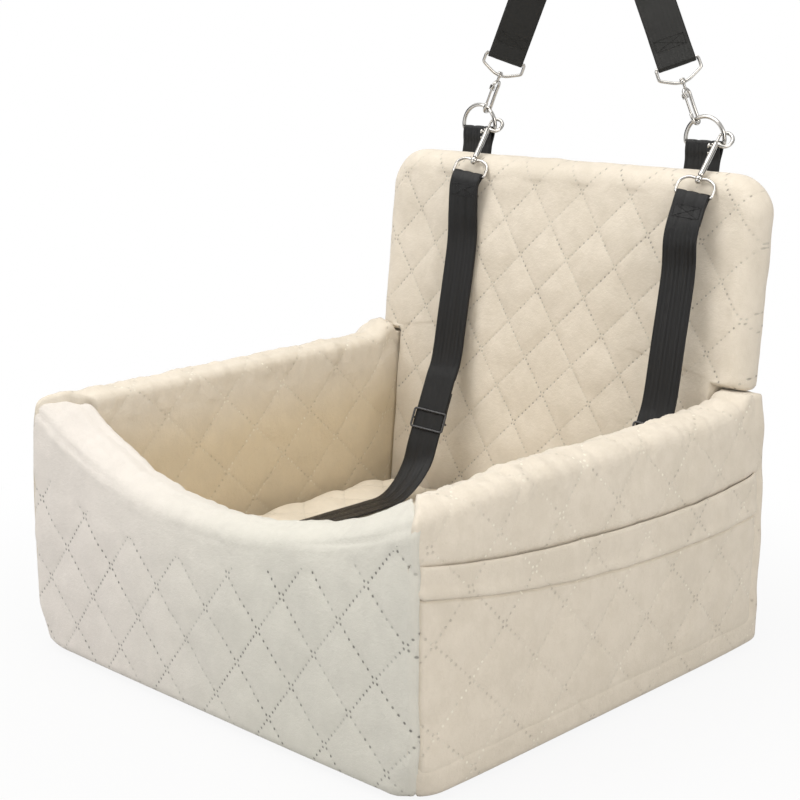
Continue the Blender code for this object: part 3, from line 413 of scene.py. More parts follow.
def emptyGrid(rows, cols):
    return np.zeros((rows, cols, 3)), np.zeros((rows, cols + 1, 2)), np.zeros((rows, cols), dtype=int)


# Points spaced evenly round a closed outline, with the length at each
def evenly(points, count):
    pts = np.array(points + [points[0]], dtype=float)
    steps = np.linalg.norm(np.diff(pts, axis=0), axis=1)
    length = np.concatenate([[0], np.cumsum(steps)])
    at = np.linspace(0, length[-1], count + 1)
    return np.stack([np.interp(at, length, pts[:, i]) for i in range(pts.shape[1])], axis=1), at


def arcPoints(middle, radius, start, end, steps):
    points = []
    for i in range(steps + 1):
        angle = math.radians(start + (end - start) * i / steps)
        points.append((middle[0] + radius * math.cos(angle), middle[1] + radius * math.sin(angle)))
    return points


def soft(value, low, high):
    t = min(1.0, max(0.0, (value - low) / (high - low)))
    return t * t * (3 - 2 * t)


def ripple(x, y, z):
    return noise.noise(Vector((x, y, z)))


# Quilting

quiltData = {
    "puff": 0.0017,
    "front": {"start": (-0.127, 0.111), "a": (-0.0285, -0.0365), "b": (0.0395, -0.0390)},
    "side": {"start": (-0.147, 0.130), "a": (-0.0375, -0.0365), "b": (0.0400, -0.0400)},
    "back": {"start": (0.094, 0.428), "a": (-0.0350, -0.0350), "b": (0.0260, -0.0353)},
}


# Place of a point in the quilt's own steps: whole numbers are sewn lines
def lattice(kind, s, t):
    q = quiltData[kind]
    ax, ay = q["a"]
    bx, by = q["b"]
    ds, dt = s - q["start"][0], t - q["start"][1]
    size = ax * by - ay * bx
    return (ds * by - dt * bx) / size, (ax * dt - ay * ds) / size


def puffAt(m, n):
    rise = abs(math.sin(math.pi * m)) ** 0.7 * abs(math.sin(math.pi * n)) ** 0.7
    return rise - 0.7


# Walls

wallData = {
    "half": 0.250, "front": -0.240, "rear": 0.240, "thick": 0.040, "height": 0.250,
    "floor": 0.0010, "clear": 0.0012, "low": 0.184, "rise": 0.0625, "power": 2.2,
    "baseRound": 0.012, "topRound": 0.0125, "innerRound": 0.010, "crown": 0.0028,
    "bulge": 0.0105, "innerBulge": 0.003, "corner": 0.003, "footCorner": 0.030, "faceDepth": 0.012,
    "band": 0.040, "bandLimits": (0.022, 0.060), "seamRound": 0.0042, "rearRound": 0.004, "gap": 0.0003,
    "pucker": {"left": 0.012, "right": 0.002}, "puckerY": 0.206, "stepY": (0.206, 0.214), "stepRise": 0.0065,
    "ledge": 0.2512, "ledgeY": 0.2115, "ledgeSlope": 0.095,
}


def frontTop(x):
    w = wallData
    return w["low"] + w["rise"] * min(1.0, abs(x) / w["half"]) ** w["power"] - 0.006 * soft(x, 0.10, 0.25)


# Section of a wall: depth from its outer face, height, and length from the foot of its outer face
def wallLoop(top, count, squared=0.0):
    w = wallData
    low, thick, r, q = w["floor"], w["thick"], w["baseRound"], w["innerRound"]
    t = w["topRound"] - 0.0095 * squared
    pts = [(thick * 0.5, low)]
    pts += [(r - x, y) for x, y in arcPoints((0, low + r), r, 270, 360, 8)]
    pts += [(0, low + r + (top - t - low - r) * k / 12) for k in range(1, 12)]
    pts += [(t - x, y) for x, y in arcPoints((0, top - t), t, 0, 90, 8)]
    pts += [(thick / 2, top + w["crown"])]
    pts += [(thick - q - x, y) for x, y in arcPoints((0, top - q), q, 90, 180, 8)]
    pts += [(thick, top - q - (top - q - low - 0.006) * k / 12) for k in range(1, 12)]
    pts += [(thick - 0.002, low + 0.002), (thick - 0.006, low)]
    loop, at = evenly(pts, count)
    return loop, at - (thick * 0.5 - r)


def roundCorner(x, y, sx, sy, radius):
    w = wallData
    cx, cy = sx * (w["half"] - radius), sy * (w["rear"] - radius)
    dx, dy = (x - cx) * sx, (y - cy) * sy
    if dx > 0 and dy > 0:
        scale = max(dx, dy) / math.hypot(dx, dy)
        return cx + sx * dx * scale, cy + sy * dy * scale
    return x, y


def endInset(dist, radius):
    if dist >= radius:
        return 0.0
    return radius - math.sqrt(max(0.0, radius ** 2 - (radius - dist) ** 2))


def loopNormals(loop):
    pts = loop[:-1]
    along = np.roll(pts, -1, axis=0) - np.roll(pts, 1, axis=0)
    normal = np.stack([along[:, 1], -along[:, 0]], axis=1)
    normal /= np.maximum(np.linalg.norm(normal, axis=1, keepdims=True), 1e-9)
    middle = pts.mean(axis=0)
    if ((pts - middle) * normal).sum() < 0:
        normal = -normal
    return normal


# Softness added to a wall's section: fuller between its seams
def wallShape(depth, height, top, share):
    w = wallData
    up = max(0.0, min(1.0, (height - w["floor"]) / (top - w["floor"])))
    arch = math.sin(math.pi * up) ** 0.6
    ends = 1 - abs(share) ** 6
    if depth < w["thick"] / 2:
        full = arch if up > 0.5 else 0.9 + 0.1 * arch
        return -w["bulge"] * full * (0.65 + 0.35 * ends) * (1 - depth / (w["thick"] / 2))
    return w["innerBulge"] * arch * (0.35 + 0.65 * ends) * (depth / (w["thick"] / 2) - 1)


# Corner radius seen from above: tight along the seam, wide at the foot
def cornerAt(height):
    w = wallData
    return w["corner"] + (w["footCorner"] - w["corner"]) * (1 - soft(height, 0.0, 0.050))


def makeFrontWall():
    w = wallData
    count = 176
    stations = 158
    grid, uv, kind = emptyGrid(stations + 1, count)
    for i in range(stations + 1):
        share = -math.cos(math.pi * i / stations) * 0.25 + (2 * i / stations - 1) * 0.75
        top = frontTop(share * w["half"])
        loop, at = wallLoop(top, count)
        normal = loopNormals(loop)
        for j in range(count):
            depth, height = loop[j]
            x = share * (w["half"] - depth)
            m, n = lattice("front", x, height)
            end = (1 - abs(share)) * (w["half"] - depth)
            spread = -wallShape(depth, height, top, 1.0) * abs(share) ** 12
            sag = endInset(end, w["seamRound"])
            outer = depth < w["faceDepth"]
            below = top - height
            band = min(w["bandLimits"][1], max(w["bandLimits"][0], w["band"] - 0.08 * x))
            quilt = soft(below, band - 0.006, band + 0.006) if outer else 0.0
            lift = quiltData["puff"] * puffAt(m, n) * quilt * soft(height, 0.006, 0.02)
            crease = ripple(x * 30, height * 22, 3.1) * 0.0014 + ripple(x * 75, height * 60, 7.7) * 0.0006
            lift += crease * (1.0 if below > 0.02 else 1.6) * soft(height, 0.004, 0.045)
            if below < 0.016:
                lift += 0.0011 * ripple(x * 130, depth * 18, 1.3)
            lift += 0.0018 * ripple(x * 60, depth * 40, 5.0) * math.exp(-(end / 0.03) ** 2)
            edge = at[j] + w["floor"] - (top - 0.002)
            fading = soft(abs(share), 0.35, 0.75)
            lift -= 0.0022 * math.exp(-(edge / 0.0022) ** 2) * fading
            lift -= 0.0012 * math.exp(-((edge - 0.034) / 0.0026) ** 2) * fading
            depth2 = depth + wallShape(depth, height, top, share) + normal[j][0] * (lift - sag)
            height2 = max(height + normal[j][1] * (lift - sag), w["clear"])
            x2 = x + math.copysign(spread - w["gap"] * (abs(share) > 0.999), share)
            y2 = w["front"] + depth2
            x2, y2 = roundCorner(x2, y2, math.copysign(1, share), -1, cornerAt(height))
            grid[i, j] = (x2, y2, height2)
            uv[i, j] = (m, n)
            kind[i, j] = 0 if outer and below > band else (2 if depth > 0.028 and below > 0.012 else 1)
        uv[i, count] = lattice("front", share * (w["half"] - loop[-1][0]), loop[-1][1])
    obj = gridPiece("frontWall", grid, uv, [frontVelvet, frontPlain, shadedInnerVelvet], kind)
    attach(obj, "seat")
    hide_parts("front_wall_cover", "front_wall_foam")


# mouth and hem: places along the wall and heights that the sewn lines pass through
pocketData = {
    "ends": (-0.2388, 0.2372), "low": 0.0245, "cloth": 0.0032, "gape": 0.0022, "seam": 0.0030,
    "mouth": [(-0.2432, 0.2003), (-0.1847, 0.1885), (-0.0993, 0.1804), (-0.0307, 0.1749), (0.0624, 0.1707),
              (0.143, 0.1719), (0.2429, 0.1821)],
    "hem": [(-0.2431, 0.1741), (-0.1844, 0.1613), (-0.0984, 0.1481), (-0.0293, 0.1402), (0.0644, 0.1344),
            (0.1457, 0.1341), (0.2512, 0.1404)],
}


def readLine(table, y):
    pts = np.array(table)
    smooth = np.polyfit(pts[:, 0], pts[:, 1], 4)
    first, last = pocketData["mouth"][0][0], pocketData["mouth"][-1][0]
    return float(np.polyval(smooth, max(first, min(last, y))))


def sideTop(sign, y):
    if sign > 0:
        sag = 0.0042 * math.cos(math.pi * (y - 0.02) / 0.56) ** 2
        return 0.2492 - sag - 0.008 * (1 - soft(y, -0.24, -0.08))
    return 0.2510 + 0.0030 * (y + 0.24) / 0.48


# Slack in the cloth of a side wall and of the pocket on it
def sideCrease(sign, y, height):
    slack = ripple(y * 30, height * 24, 9.1 * sign) * 0.0015 + ripple(y * 80, height * 60, 2.7) * 0.0006
    return slack * soft(height, 0.004, 0.045)


def makeSideWall(side):
    w = wallData
    sign = 1 if side == "right" else -1
    count = 180
    stations = 150
    grid, uv, kind = emptyGrid(stations + 1, count)
    for i in range(stations + 1):
        share = (2 * i / stations - 1) * 0.8 - math.cos(math.pi * i / stations) * 0.2
        part = (share + 1) / 2
        middleY = w["front"] + part * (w["rear"] - w["front"])
        stepped = soft(middleY, *w["stepY"])
        curl = math.exp(-((middleY - w["puckerY"]) / 0.016) ** 2) * (1 - stepped)
        top = sideTop(sign, middleY) + w["pucker"][side] * curl + w["stepRise"] * soft(middleY, 0.204, 0.213)
        loop, at = wallLoop(top, count, stepped)
        normal = loopNormals(loop)
        for j in range(count):
            depth, height = loop[j]
            start = w["front"] + depth
            y = start + part * (w["rear"] - start)
            m, n = lattice("side", y, at[j] + w["floor"] - w["baseRound"] * (math.pi / 2 - 1))
            sag = endInset(part * (w["rear"] - start), w["seamRound"])
            sag += endInset((1 - part) * (w["rear"] - start), w["rearRound"])
            outer = depth < w["faceDepth"]
            lift = quiltData["puff"] * puffAt(m, n) * soft(height, 0.006, 0.02) * (0.75 if outer else 0.55)
            behind = 0.0
            if sign > 0 and outer:
                mouth = readLine(pocketData["mouth"], y)
                behind = 0.0050 * soft(mouth + 0.006 - height, 0.0, 0.010) * soft(height, 0.027, 0.040)
                behind *= soft(0.237 - y, 0.0, 0.018)
                lift *= soft(height - mouth, -0.03, 0.004) if height < mouth else 1.0
            lift += sideCrease(sign, y, at[j] if height > top - 0.03 else height)
            if top - height < 0.018:
                lift += 0.0019 * ripple(y * 95, depth * 20, 4.0 + sign)
                lift += 0.0009 * ripple(y * 240, depth * 40, 8.0)
            depth2 = depth + wallShape(depth, height, top, share) + behind + normal[j][0] * (lift - sag)
            height2 = max(height + normal[j][1] * (lift - sag), w["clear"])
            if y > w["ledgeY"]:
                height2 = min(height2, w["ledge"] + 0.0038 - w["ledgeSlope"] * (y - 0.215))
            y2 = y + (w["gap"] if part < 0.001 else 0) + wallShape(depth, height, top, 1.0) * (1 - part) ** 24
            x2, y2 = roundCorner(sign * (w["half"] - depth2), y2, sign, -1, cornerAt(height))
            grid[i, j] = (x2, y2, height2)
            uv[i, j] = (m, n)
            kind[i, j] = 1 if depth > 0.026 and top - height > 0.010 else 0
        uv[i, count] = uv[i, 0] + (uv[i, count - 1] - uv[i, count - 2])
    obj = gridPiece(side + "Wall", grid, uv, [sideVelvet, shadedInnerVelvet], kind)
    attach(obj, "seat")
    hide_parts(side + "_wall_cover", side + "_wall_foam")


# Cloth panel sewn along its foot and ends, with a turned-in hem along its open mouth
def makePocket():
    w, p = wallData, pocketData
    first, last = p["ends"]
    across, below, above = 190, 54, 14
    up = below + above
    front = np.zeros((across + 1, up + 1, 3))
    uvFront = np.zeros((across + 1, up + 1, 2))
    for i in range(across + 1):
        share = 2 * i / across - 1
        y = first + (last - first) * i / across
        mouth, hem = readLine(p["mouth"], y), readLine(p["hem"], y)
        ends = 1 - abs(share) ** 6
        for j in range(up + 1):
            if abs(j - below) < 3:
                z = hem + 0.0009 * (j - below)
            elif j < below:
                z = p["low"] + (hem - 0.0035 - p["low"]) * j / (below - 3)
            else:
                z = hem + 0.0035 + (mouth - hem - 0.0035) * (j - below - 3) / (above - 3)
            m, n = lattice("side", y, z)
            top = sideTop(1, y)
            rise = math.sin(math.pi * min(1.0, (z - w["floor"]) / (top - w["floor"]))) ** 0.7
            arch = rise if z > (top + w["floor"]) / 2 else 0.9 + 0.1 * rise
            out = w["bulge"] * arch * (0.65 + 0.35 * ends)
            out += quiltData["puff"] * 0.62 * puffAt(m, n) * soft(z, 0.022, 0.040)
            out -= p["seam"] * math.exp(-((z - hem) / 0.0010) ** 2)
            out += 0.0016 * math.exp(-((z - hem - 0.005) / 0.005) ** 2)
            out -= 0.0016 * (1 - soft(z, p["low"], p["low"] + 0.009))
            out -= 0.0042 * (1 - soft(last - y, 0.0, 0.020))
            out += p["gape"] * soft(z, hem, mouth) * ends * (0.7 + 0.5 * ripple(y * 9, 0, 2.2))
            out += sideCrease(1, y, z)
            out -= 0.0028 * (1 - soft(y - first, 0.0, 0.007))
            bent = y - out * (1 - (share + 1) / 2) ** 24
            x2, y2 = roundCorner(w["half"] + out + 0.0002, bent, 1, -1, cornerAt(z))
            front[i, j] = (x2, y2, z)
            uvFront[i, j] = (m, n)
    back = front - np.array((p["cloth"], 0, 0))
    back[:, -1, 2] -= 0.0004
    edge = (front[:, -1:] + back[:, -1:]) / 2
    edge[..., 2] += 0.0011
    grid = np.concatenate([front, edge, back[:, ::-1]], axis=1)
    uv = np.concatenate([uvFront, uvFront[:, -1:], uvFront[:, ::-1], uvFront[:, :1]], axis=1)
    obj = gridPiece("sidePocket", grid, uv, [sideVelvet], np.zeros(grid.shape[:2], dtype=int))
    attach(obj, "seat")
    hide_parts("side_pocket")


makeFrontWall()
makeSideWall("left")
makeSideWall("right")
makePocket()
print("walls and pocket made")


# Backrest

backData = {
    "thick": 0.042, "width": 0.481, "top": 0.457, "corner": 0.042, "lean": 0.095, "atWallTop": 0.236,
    "wallTop": 0.2513, "notch": 0.2097, "floor": 0.0033, "edgeSmall": 0.3, "earCorner": 0.0045,
    "puff": 0.0019, "crown": 0.0045, "seam": 0.0014, "middle": 0.300,
}


def backPoint(x, out, up):
    b = backData
    lean = math.atan(b["lean"])
    foot = b["atWallTop"] - b["lean"] * wallData["height"]
    y = foot + up * math.sin(lean) + out * math.cos(lean)
    return Vector((x, y, up * math.cos(lean) - out * math.sin(lean)))


def backOutline(rim, count):
    b = backData
    lean = math.cos(math.atan(b["lean"]))
    foot, ledge, top = b["floor"] / lean + 0.0022, (b["wallTop"] + 0.0003) / lean + 0.0022, b["top"] / lean
    wide = b["width"] / 2
    low, small = rim * b["edgeSmall"], b["earCorner"]
    right = [(0, foot + low), (b["notch"] - low, foot + low), (b["notch"] - low, ledge + low)]
    right += arcPoints((wide - rim * 0.8 - small, ledge + low + small), small, 270, 360, 6)
    right += arcPoints((wide - b["corner"], top - b["corner"]), b["corner"] - rim, 0, 90, 12)
    left = [(-x, up) for x, up in reversed(right[1:])]
    return evenly(right + left, count)[0][:-1]


def makeBackrest():
    b = backData
    count = 400
    rims = 18
    caps = 64
    radius, middle = b["thick"] / 2, b["middle"]
    edge = backOutline(radius, count)

    def capRing(k, out):
        share = 0.02 + 0.98 * (k / caps)
        return [(x * share, middle + (u - middle) * share, out, 1.0 - share) for x, u in edge]

    rings = [capRing(k, -radius) for k in range(caps + 1)]
    for k in range(1, rims):
        angle = -90 + 180 * k / rims
        rim = radius * (1 - math.cos(math.radians(angle)))
        out = radius * math.sin(math.radians(angle))
        rings.append([(x, u, out, 0.0) for x, u in backOutline(rim, count)])
    rings += [capRing(k, radius) for k in range(caps, -1, -1)]
    grid, uv, kind = emptyGrid(len(rings), count)
    for i, ring in enumerate(rings):
        for j, (x, u, out, inside) in enumerate(ring):
            side = -1 if out < 0 else 1
            z = backPoint(x, out, u).z
            m, n = lattice("back", x, z)
            face = soft(abs(out), radius * 0.55, radius * 0.98)
            crown = b["crown"] * soft(inside, 0.0, 0.55)
            lift = b["puff"] * puffAt(m, n) * face * soft(inside, 0.0, 0.035) + crown
            lift += ripple(x * 24, z * 22, 31.0 * side) * 0.0016 + ripple(x * 70, z * 60, 12.0) * 0.0006
            seam = math.exp(-((out - radius * 0.35) / 0.0016) ** 2) * (1 - face) * b["seam"]
            direction = (backPoint(0, 1, 0) - backPoint(0, 0, 0)) * side * face
            if inside <= 0:
                direction += Vector((x, 0, z - middle)).normalized() * (1 - face)
            point = backPoint(x, out, u) + direction * (lift - seam)
            grid[i, j] = (point.x, point.y, max(point.z, 0.0015))
            uv[i, j] = (m, n)
        uv[i, count] = uv[i, 0]
    obj = gridPiece("backrest", grid, uv, [backVelvet], kind)
    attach(obj, "seat")
    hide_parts("backrest_cover", "backrest_foam")


makeBackrest()
print("backrest made")


# Base layers and cushion

cushionData = {
    "low": 0.0470, "thick": 0.0525, "crown": 0.003, "halfX": 0.2085, "halfY": 0.1963, "middle": -0.0022,
    "pull": 0.005, "line": 0.0445, "offset": 0.0012, "normal": (0.660, 0.751), "channel": 0.0042,
    "rim": 0.007, "shrink": 0.004, "squared": 0.16, "clear": 0.0006,
    "voxel": 0.006, "pressure": 4.0, "cap": 0.006,
}


def cushionDome(x, y):
    c = cushionData
    u = min(1, abs(x) / c["halfX"])
    v = min(1, abs(y - c["middle"]) / c["halfY"])
    return c["thick"] - c["crown"] + c["crown"] * math.cos(u * math.pi / 2) * math.cos(v * math.pi / 2)


def cushionTop(x, y):
    return cushionData["low"] + cushionDome(x, y)


def makePlate(name, low, high, corner, edge, finish, body, node):
    bm = bmesh.new()
    outline = []
    x0, y0, x1, y1 = low[0] + corner, low[1] + corner, high[0] - corner, high[1] - corner
    for middle, start in (((x1, y1), 0), ((x0, y1), 90), ((x0, y0), 180), ((x1, y0), 270)):
        outline += arcPoints(middle, corner, start, start + 90, 6)
    face = bm.faces.new([bm.verts.new((x, y, low[2])) for x, y in outline])
    raised = bmesh.ops.extrude_face_region(bm, geom=[face])["geom"]
    raised = [v for v in raised if isinstance(v, bmesh.types.BMVert)]
    bmesh.ops.translate(bm, verts=raised, vec=(0, 0, high[2] - low[2]))
    rim = [e for e in bm.edges if abs(e.verts[0].co.z - e.verts[1].co.z) < 1e-7]
    bmesh.ops.bevel(bm, geom=rim, offset=edge, segments=3, affect="EDGES", profile=0.5)
    obj = builtObject(name, bm, [finish])
    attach(obj, body)
    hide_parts(node)
    return obj


def makeBaseLayers():
    for name, node, edge, inset, finish, slotName in (
            ("baseFoam", "base_foam", 0.004, 0, foamFill, "foam"),
            ("floorLiner", "floor_liner", 0.0006, 0, liningCloth, "lining"),
            ("bottomPanel", "bottom_panel", 0.0010, 0.012, liningCloth, "lining")):
        low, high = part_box(node)
        low, high = (low[0] + inset, low[1] + inset, low[2]), (high[0] - inset, high[1] - inset, high[2])
        makePlate(name, low, high, 0.006, edge, finish, "seat", node)


# Blow the piece up a little as cloth, with each point's travel capped, then keep that shape
def clothPuff(obj, pressure, cap):
    before = np.array([v.co for v in obj.data.vertices])
    cloth = obj.modifiers.new("fill", "CLOTH")
    cloth.settings.quality = 5
    cloth.settings.mass = 0.3
    cloth.settings.tension_stiffness = 12
    cloth.settings.compression_stiffness = 12
    cloth.settings.shear_stiffness = 6
    cloth.settings.bending_stiffness = 0.6
    cloth.settings.use_pressure = True
    cloth.settings.uniform_pressure_force = pressure
    cloth.settings.effector_weights.gravity = 0
    cloth.collision_settings.use_collision = False
    cloth.point_cache.frame_start = 1
    cloth.point_cache.frame_end = 20
    scene = bpy.context.scene
    for step in range(1, 21):
        scene.frame_set(step)
    shown = obj.evaluated_get(bpy.context.evaluated_depsgraph_get())
    after = np.array([v.co for v in shown.to_mesh().vertices])
    shown.to_mesh_clear()
    obj.modifiers.remove(cloth)
    scene.frame_set(1)
    move = after - before
    size = np.linalg.norm(move, axis=1, keepdims=True)
    move *= np.minimum(1, cap / np.maximum(size, 1e-9))
    for vert, place in zip(obj.data.vertices, before + move):
        vert.co = place


def evenMesh(obj, voxel):
    bpy.context.view_layer.objects.active = obj
    remesh = obj.modifiers.new("even", "REMESH")
    remesh.mode = "VOXEL"
    remesh.voxel_size = voxel
    bpy.ops.object.modifier_apply(modifier=remesh.name)


def signedPower(value, power):
    return math.copysign(abs(value) ** power, value)


# Rounded box that the cushion starts from, a little smaller than its cover
def cushionBlank(count=220):
    c = cushionData
    shrink = c["shrink"]
    rows = [(math.sin(a), math.cos(a)) for a in (math.radians(9 * k) for k in range(-10, 11))]
    verts, faces = [], []
    for zz, spread in rows:
        for j in range(count):
            t = math.tau * j / count
            px, py = signedPower(math.cos(t), c["squared"]), signedPower(math.sin(t), c["squared"])
            side = (c["thick"] / 2 - shrink) * (1 - spread ** 0.5) * 0.55
            wide = c["halfX"] - shrink - c["pull"] * (1 - py * py) - side
            deep = c["halfY"] - shrink - c["pull"] * (1 - px * px) - side
            top = cushionDome(px * wide, c["middle"] + py * deep) - shrink
            z = c["low"] + shrink + (top - shrink) * (0.5 + 0.5 * signedPower(zz, 0.8))
            verts.append((px * wide, c["middle"] + py * deep, z))
    for i in range(len(rows) - 1):
        for j in range(count):
            k = (j + 1) % count
            faces.append((i * count + j, i * count + k, (i + 1) * count + k, (i + 1) * count + j))
    faces.append(tuple(range(count))[::-1])
    faces.append(tuple((len(rows) - 1) * count + j for j in range(count)))
    mesh = bpy.data.meshes.new("cushion")
    mesh.from_pydata(verts, [], faces)
    mesh.validate()
    return mesh


# Cushion seam lines as whole numbers
def cushionLattice(x, y):
    c = cushionData
    nx, ny = c["normal"]
    return (x * nx + y * ny - c["offset"]) / c["line"], (x * ny - y * nx) / c["line"]


def makeCushion():
    c = cushionData
    obj = meshObject("cushion", cushionBlank(), [cushionVelvet])
    evenMesh(obj, c["voxel"])
    clothPuff(obj, c["pressure"], c["cap"])
    finer = obj.modifiers.new("finer", "SUBSURF")
    finer.levels = 1
    bpy.ops.object.modifier_apply(modifier=finer.name)
    wide, deep = c["halfX"] - c["clear"], c["halfY"] - c["clear"]
    for vert in obj.data.vertices:
        x, y, z = vert.co
        m, n = cushionLattice(x, y)
        up = soft(z, c["low"] + 0.030, c["low"] + 0.046)
        rise = abs(math.sin(math.pi * m)) ** 0.5 * abs(math.sin(math.pi * n)) ** 0.5
        z = min(z, cushionTop(x, y) + 0.001)
        z += c["rim"] * max(soft(-x, 0.150, 0.195), soft(y, 0.140, 0.180)) * up
        z -= up * c["channel"] * (1 - rise)
        z += up * 0.0007 * ripple(x * 60, y * 60, 6.0)
        vert.co.z = max(z, c["low"] + 0.0004)
        vert.co.x = max(-wide, min(wide, x))
        vert.co.y = max(c["middle"] - deep, min(c["middle"] + deep, y))
    layer = obj.data.uv_layers.new(name="clothUv")
    values = []
    for loop in obj.data.loops:
        place = obj.data.vertices[loop.vertex_index].co
        values += cushionLattice(place.x, place.y)
    layer.data.foreach_set("uv", values)
    obj.data.polygons.foreach_set("use_smooth", [True] * len(obj.data.polygons))
    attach(obj, "cushion")
    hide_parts("cushion_cover", "cushion_fill")


makeBaseLayers()
makeCushion()
print("base and cushion made")


# Places of the metalwork and webbing, as the model has them

fitData = {
    "gap": 0.0003,
    "ring": {"plane": 0.272, "middle": 0.006, "spread": 0.1455, "wire": 0.0021, "radius": 0.0222,
             "leg": 0.004, "barZ": 0.481, "bend": 0.0025},
    "tab": {"cloth": 0.0014, "footY": 0.268},
    "snap": {"shank": 0.0030, "length": 0.055, "wire": 0.0019, "hook": (0.0070, 0.0085),
             "middle": (0.0065, -0.0020), "seat": (0.0055, -0.0015), "mouth": -0.008, "stem": 0.0013,
             "head": 0.0031, "fall": 43, "side": {"left": 0.215, "right": 0.10}},
    "bolt": {"pin": 0.0013, "rear": -0.022, "tip": -0.0004, "knob": -0.014, "travel": 0.0075},
    "eye": {"wire": 0.0015, "half": 0.0187, "drop": 0.017, "barrel": 0.0039, "barrelHalf": 0.0017,
            "fall": 58, "turn": 18},
    "tether": {"width": 0.033, "cloth": 0.0014, "space": 0.00085, "sewn": 0.030, "tail": 0.034,
               "hang": [(0.2140, 0.398), (0.2125, 0.362), (0.2000, 0.295)], "top": (0.1901, 0.2437),
               "foot": (0.1440, 0.1340), "curl": (0.1260, 0.1140), "shift": {"left": 0.0, "right": -0.010},
               "sliderZ": {"left": 0.179, "right": 0.212}, "lowerY": {"left": -0.052, "right": -0.062},
               "sliderWire": 0.0012, "sliderHalf": 0.010, "room": {"left": 0.049, "right": 0.027}},
    "sling": {"width": 0.038, "cloth": 0.0018, "lean": 25, "hookIn": 0.0115,
              "topZ": 0.690, "turnZ": 0.640, "topBend": 0.030,
              "hookWire": 0.0018, "hookHalf": 0.0047, "hookLength": 0.036, "nose": 0.010, "gateHinge": 0.0300,
              "gateBar": 0.0012, "loopWire": 0.0016, "loopHalf": 0.0214, "loopHeight": 0.0195,
              "loopSide": 0.0105,
              "collar": 0.0434, "sliderWire": 0.0015, "sliderHalf": 0.012},
    "faceTurn": 35,
}


def axesAt(origin, across, along):
    across, along = Vector(across), Vector(along).normalized()
    across = (across - across.dot(along) * along).normalized()
    matrix = Matrix((across, along, across.cross(along))).transposed().to_4x4()
    matrix.translation = Vector(origin)
    return matrix


def turned(degrees):
    return Vector((math.cos(math.radians(degrees)), math.sin(math.radians(degrees)), 0))


def outward(side):
    return 1 if side == "right" else -1


def ringX(side):
    return fitData["ring"]["middle"] + outward(side) * fitData["ring"]["spread"]


def upperAxes(side):
    r, s, e = fitData["ring"], fitData["snap"], fitData["eye"]
    fall = math.radians(s["fall"])
    direction = Vector((s["side"][side], -math.cos(fall), -math.sin(fall)))
    spot = Vector((ringX(side) + r["radius"], r["plane"], r["barZ"] + r["leg"] + 0.0015))
    body = axesAt((0, 0, 0), turned(fitData["faceTurn"]), -direction)
    body.translation = spot - body.to_3x3() @ Vector((*s["seat"], 0))
    low = math.radians(e["fall"])
    eye = axesAt(body @ Vector((0, -s["length"], 0)), turned(e["turn"]), (0, math.cos(low), math.sin(low)))
    return body, eye


def tetherX(side):
    return upperAxes(side)[1].translation.x


def lowerAxes(side):
    x, y = tetherX(side), fitData["tether"]["lowerY"][side]
    eye = axesAt((x, y, cushionTop(x, y) + fitData["gap"] + fitData["eye"]["barrel"]), (1, 0, 0), (0, -1, 0))
    body = eye.copy()
    body.translation = eye @ Vector((0, fitData["snap"]["length"], 0))
    return body, eye


def slingUp(side):
    lean = math.radians(fitData["sling"]["lean"])
    return Vector((-outward(side) * math.sin(lean), 0, math.cos(lean)))


def slingAxes(side):
    r, s, gap = fitData["ring"], fitData["sling"], fitData["gap"]
    up = slingUp(side)
    rise = math.sqrt(r["radius"] ** 2 - s["hookIn"] ** 2)
    touch = Vector((ringX(side) - outward(side) * s["hookIn"], r["plane"], r["barZ"] + r["leg"] + rise))
    bottom = touch - up * (r["wire"] + s["hookWire"] + 2 * gap)
    return axesAt(bottom, (0, -1, 0), up), axesAt(bottom + up * s["collar"], turned(fitData["faceTurn"]), up)


# Metal shapes

# Place between b and c on the smooth line through all four
def onCurve(a, b, c, d, t):
    near = 2 * b + (c - a) * t + (2 * a - 5 * b + 4 * c - d) * t ** 2
    return (near + (3 * b - a - 3 * c + d) * t ** 3) / 2


def fours(points):
    pts = [points[0] * 2 - points[1]] + points + [points[-1] * 2 - points[-2]]
    return zip(pts, pts[1:], pts[2:], pts[3:])


# Rounder path through the same points
def smoothPath(points, steps=4):
    return [onCurve(*four, k / steps) for four in fours(points) for k in range(steps)] + [points[-1]]


def addRing(bm, centre, side, top, size, sides, matrix):
    ring = []
    for k in range(sides):
        t = math.tau * k / sides
        place = centre + size * (math.cos(t) * side + math.sin(t) * top)
        ring.append(bm.verts.new(matrix @ place if matrix else place))
    return ring


def joinRings(bm, rings, closed=False):
    for low, high in zip(rings, rings[1:] + rings[:1] if closed else rings[1:]):
        for k in range(len(low)):
            j = (k + 1) % len(low)
            bm.faces.new((low[k], low[j], high[j], high[k]))
    if not closed:
        bm.faces.new(rings[0][::-1])
        bm.faces.new(rings[-1])


# Round wire along a path, with domed ends when it is open
def sweep(bm, path, radius, normal, sides=16, closed=False, matrix=None):
    up = Vector(normal).normalized()
    last = len(path) - 1
    stations = []
    for i, point in enumerate(path):
        before = path[i - 1] if i > 0 or closed else path[i]
        after = path[(i + 1) % len(path)] if i < last or closed else path[i]
        size = radius[i] if isinstance(radius, list) else radius
        stations.append((Vector(point), (Vector(after) - Vector(before)).normalized(), size))
    if not closed:
        for end, sign in ((0, -1), (-1, 1)):
            point, along, size = stations[end]
            domes = [(point + along * sign * size * 0.55 * math.sin(a), along, size * math.cos(a))
                     for a in map(math.radians, (30, 60, 82))]
            stations = domes[::-1] + stations if end == 0 else stations + domes
    rings = []
    for point, along, size in stations:
        side = up.cross(along).normalized()
        rings.append(addRing(bm, point, side, along.cross(side), size, sides, matrix))
    joinRings(bm, rings, closed)


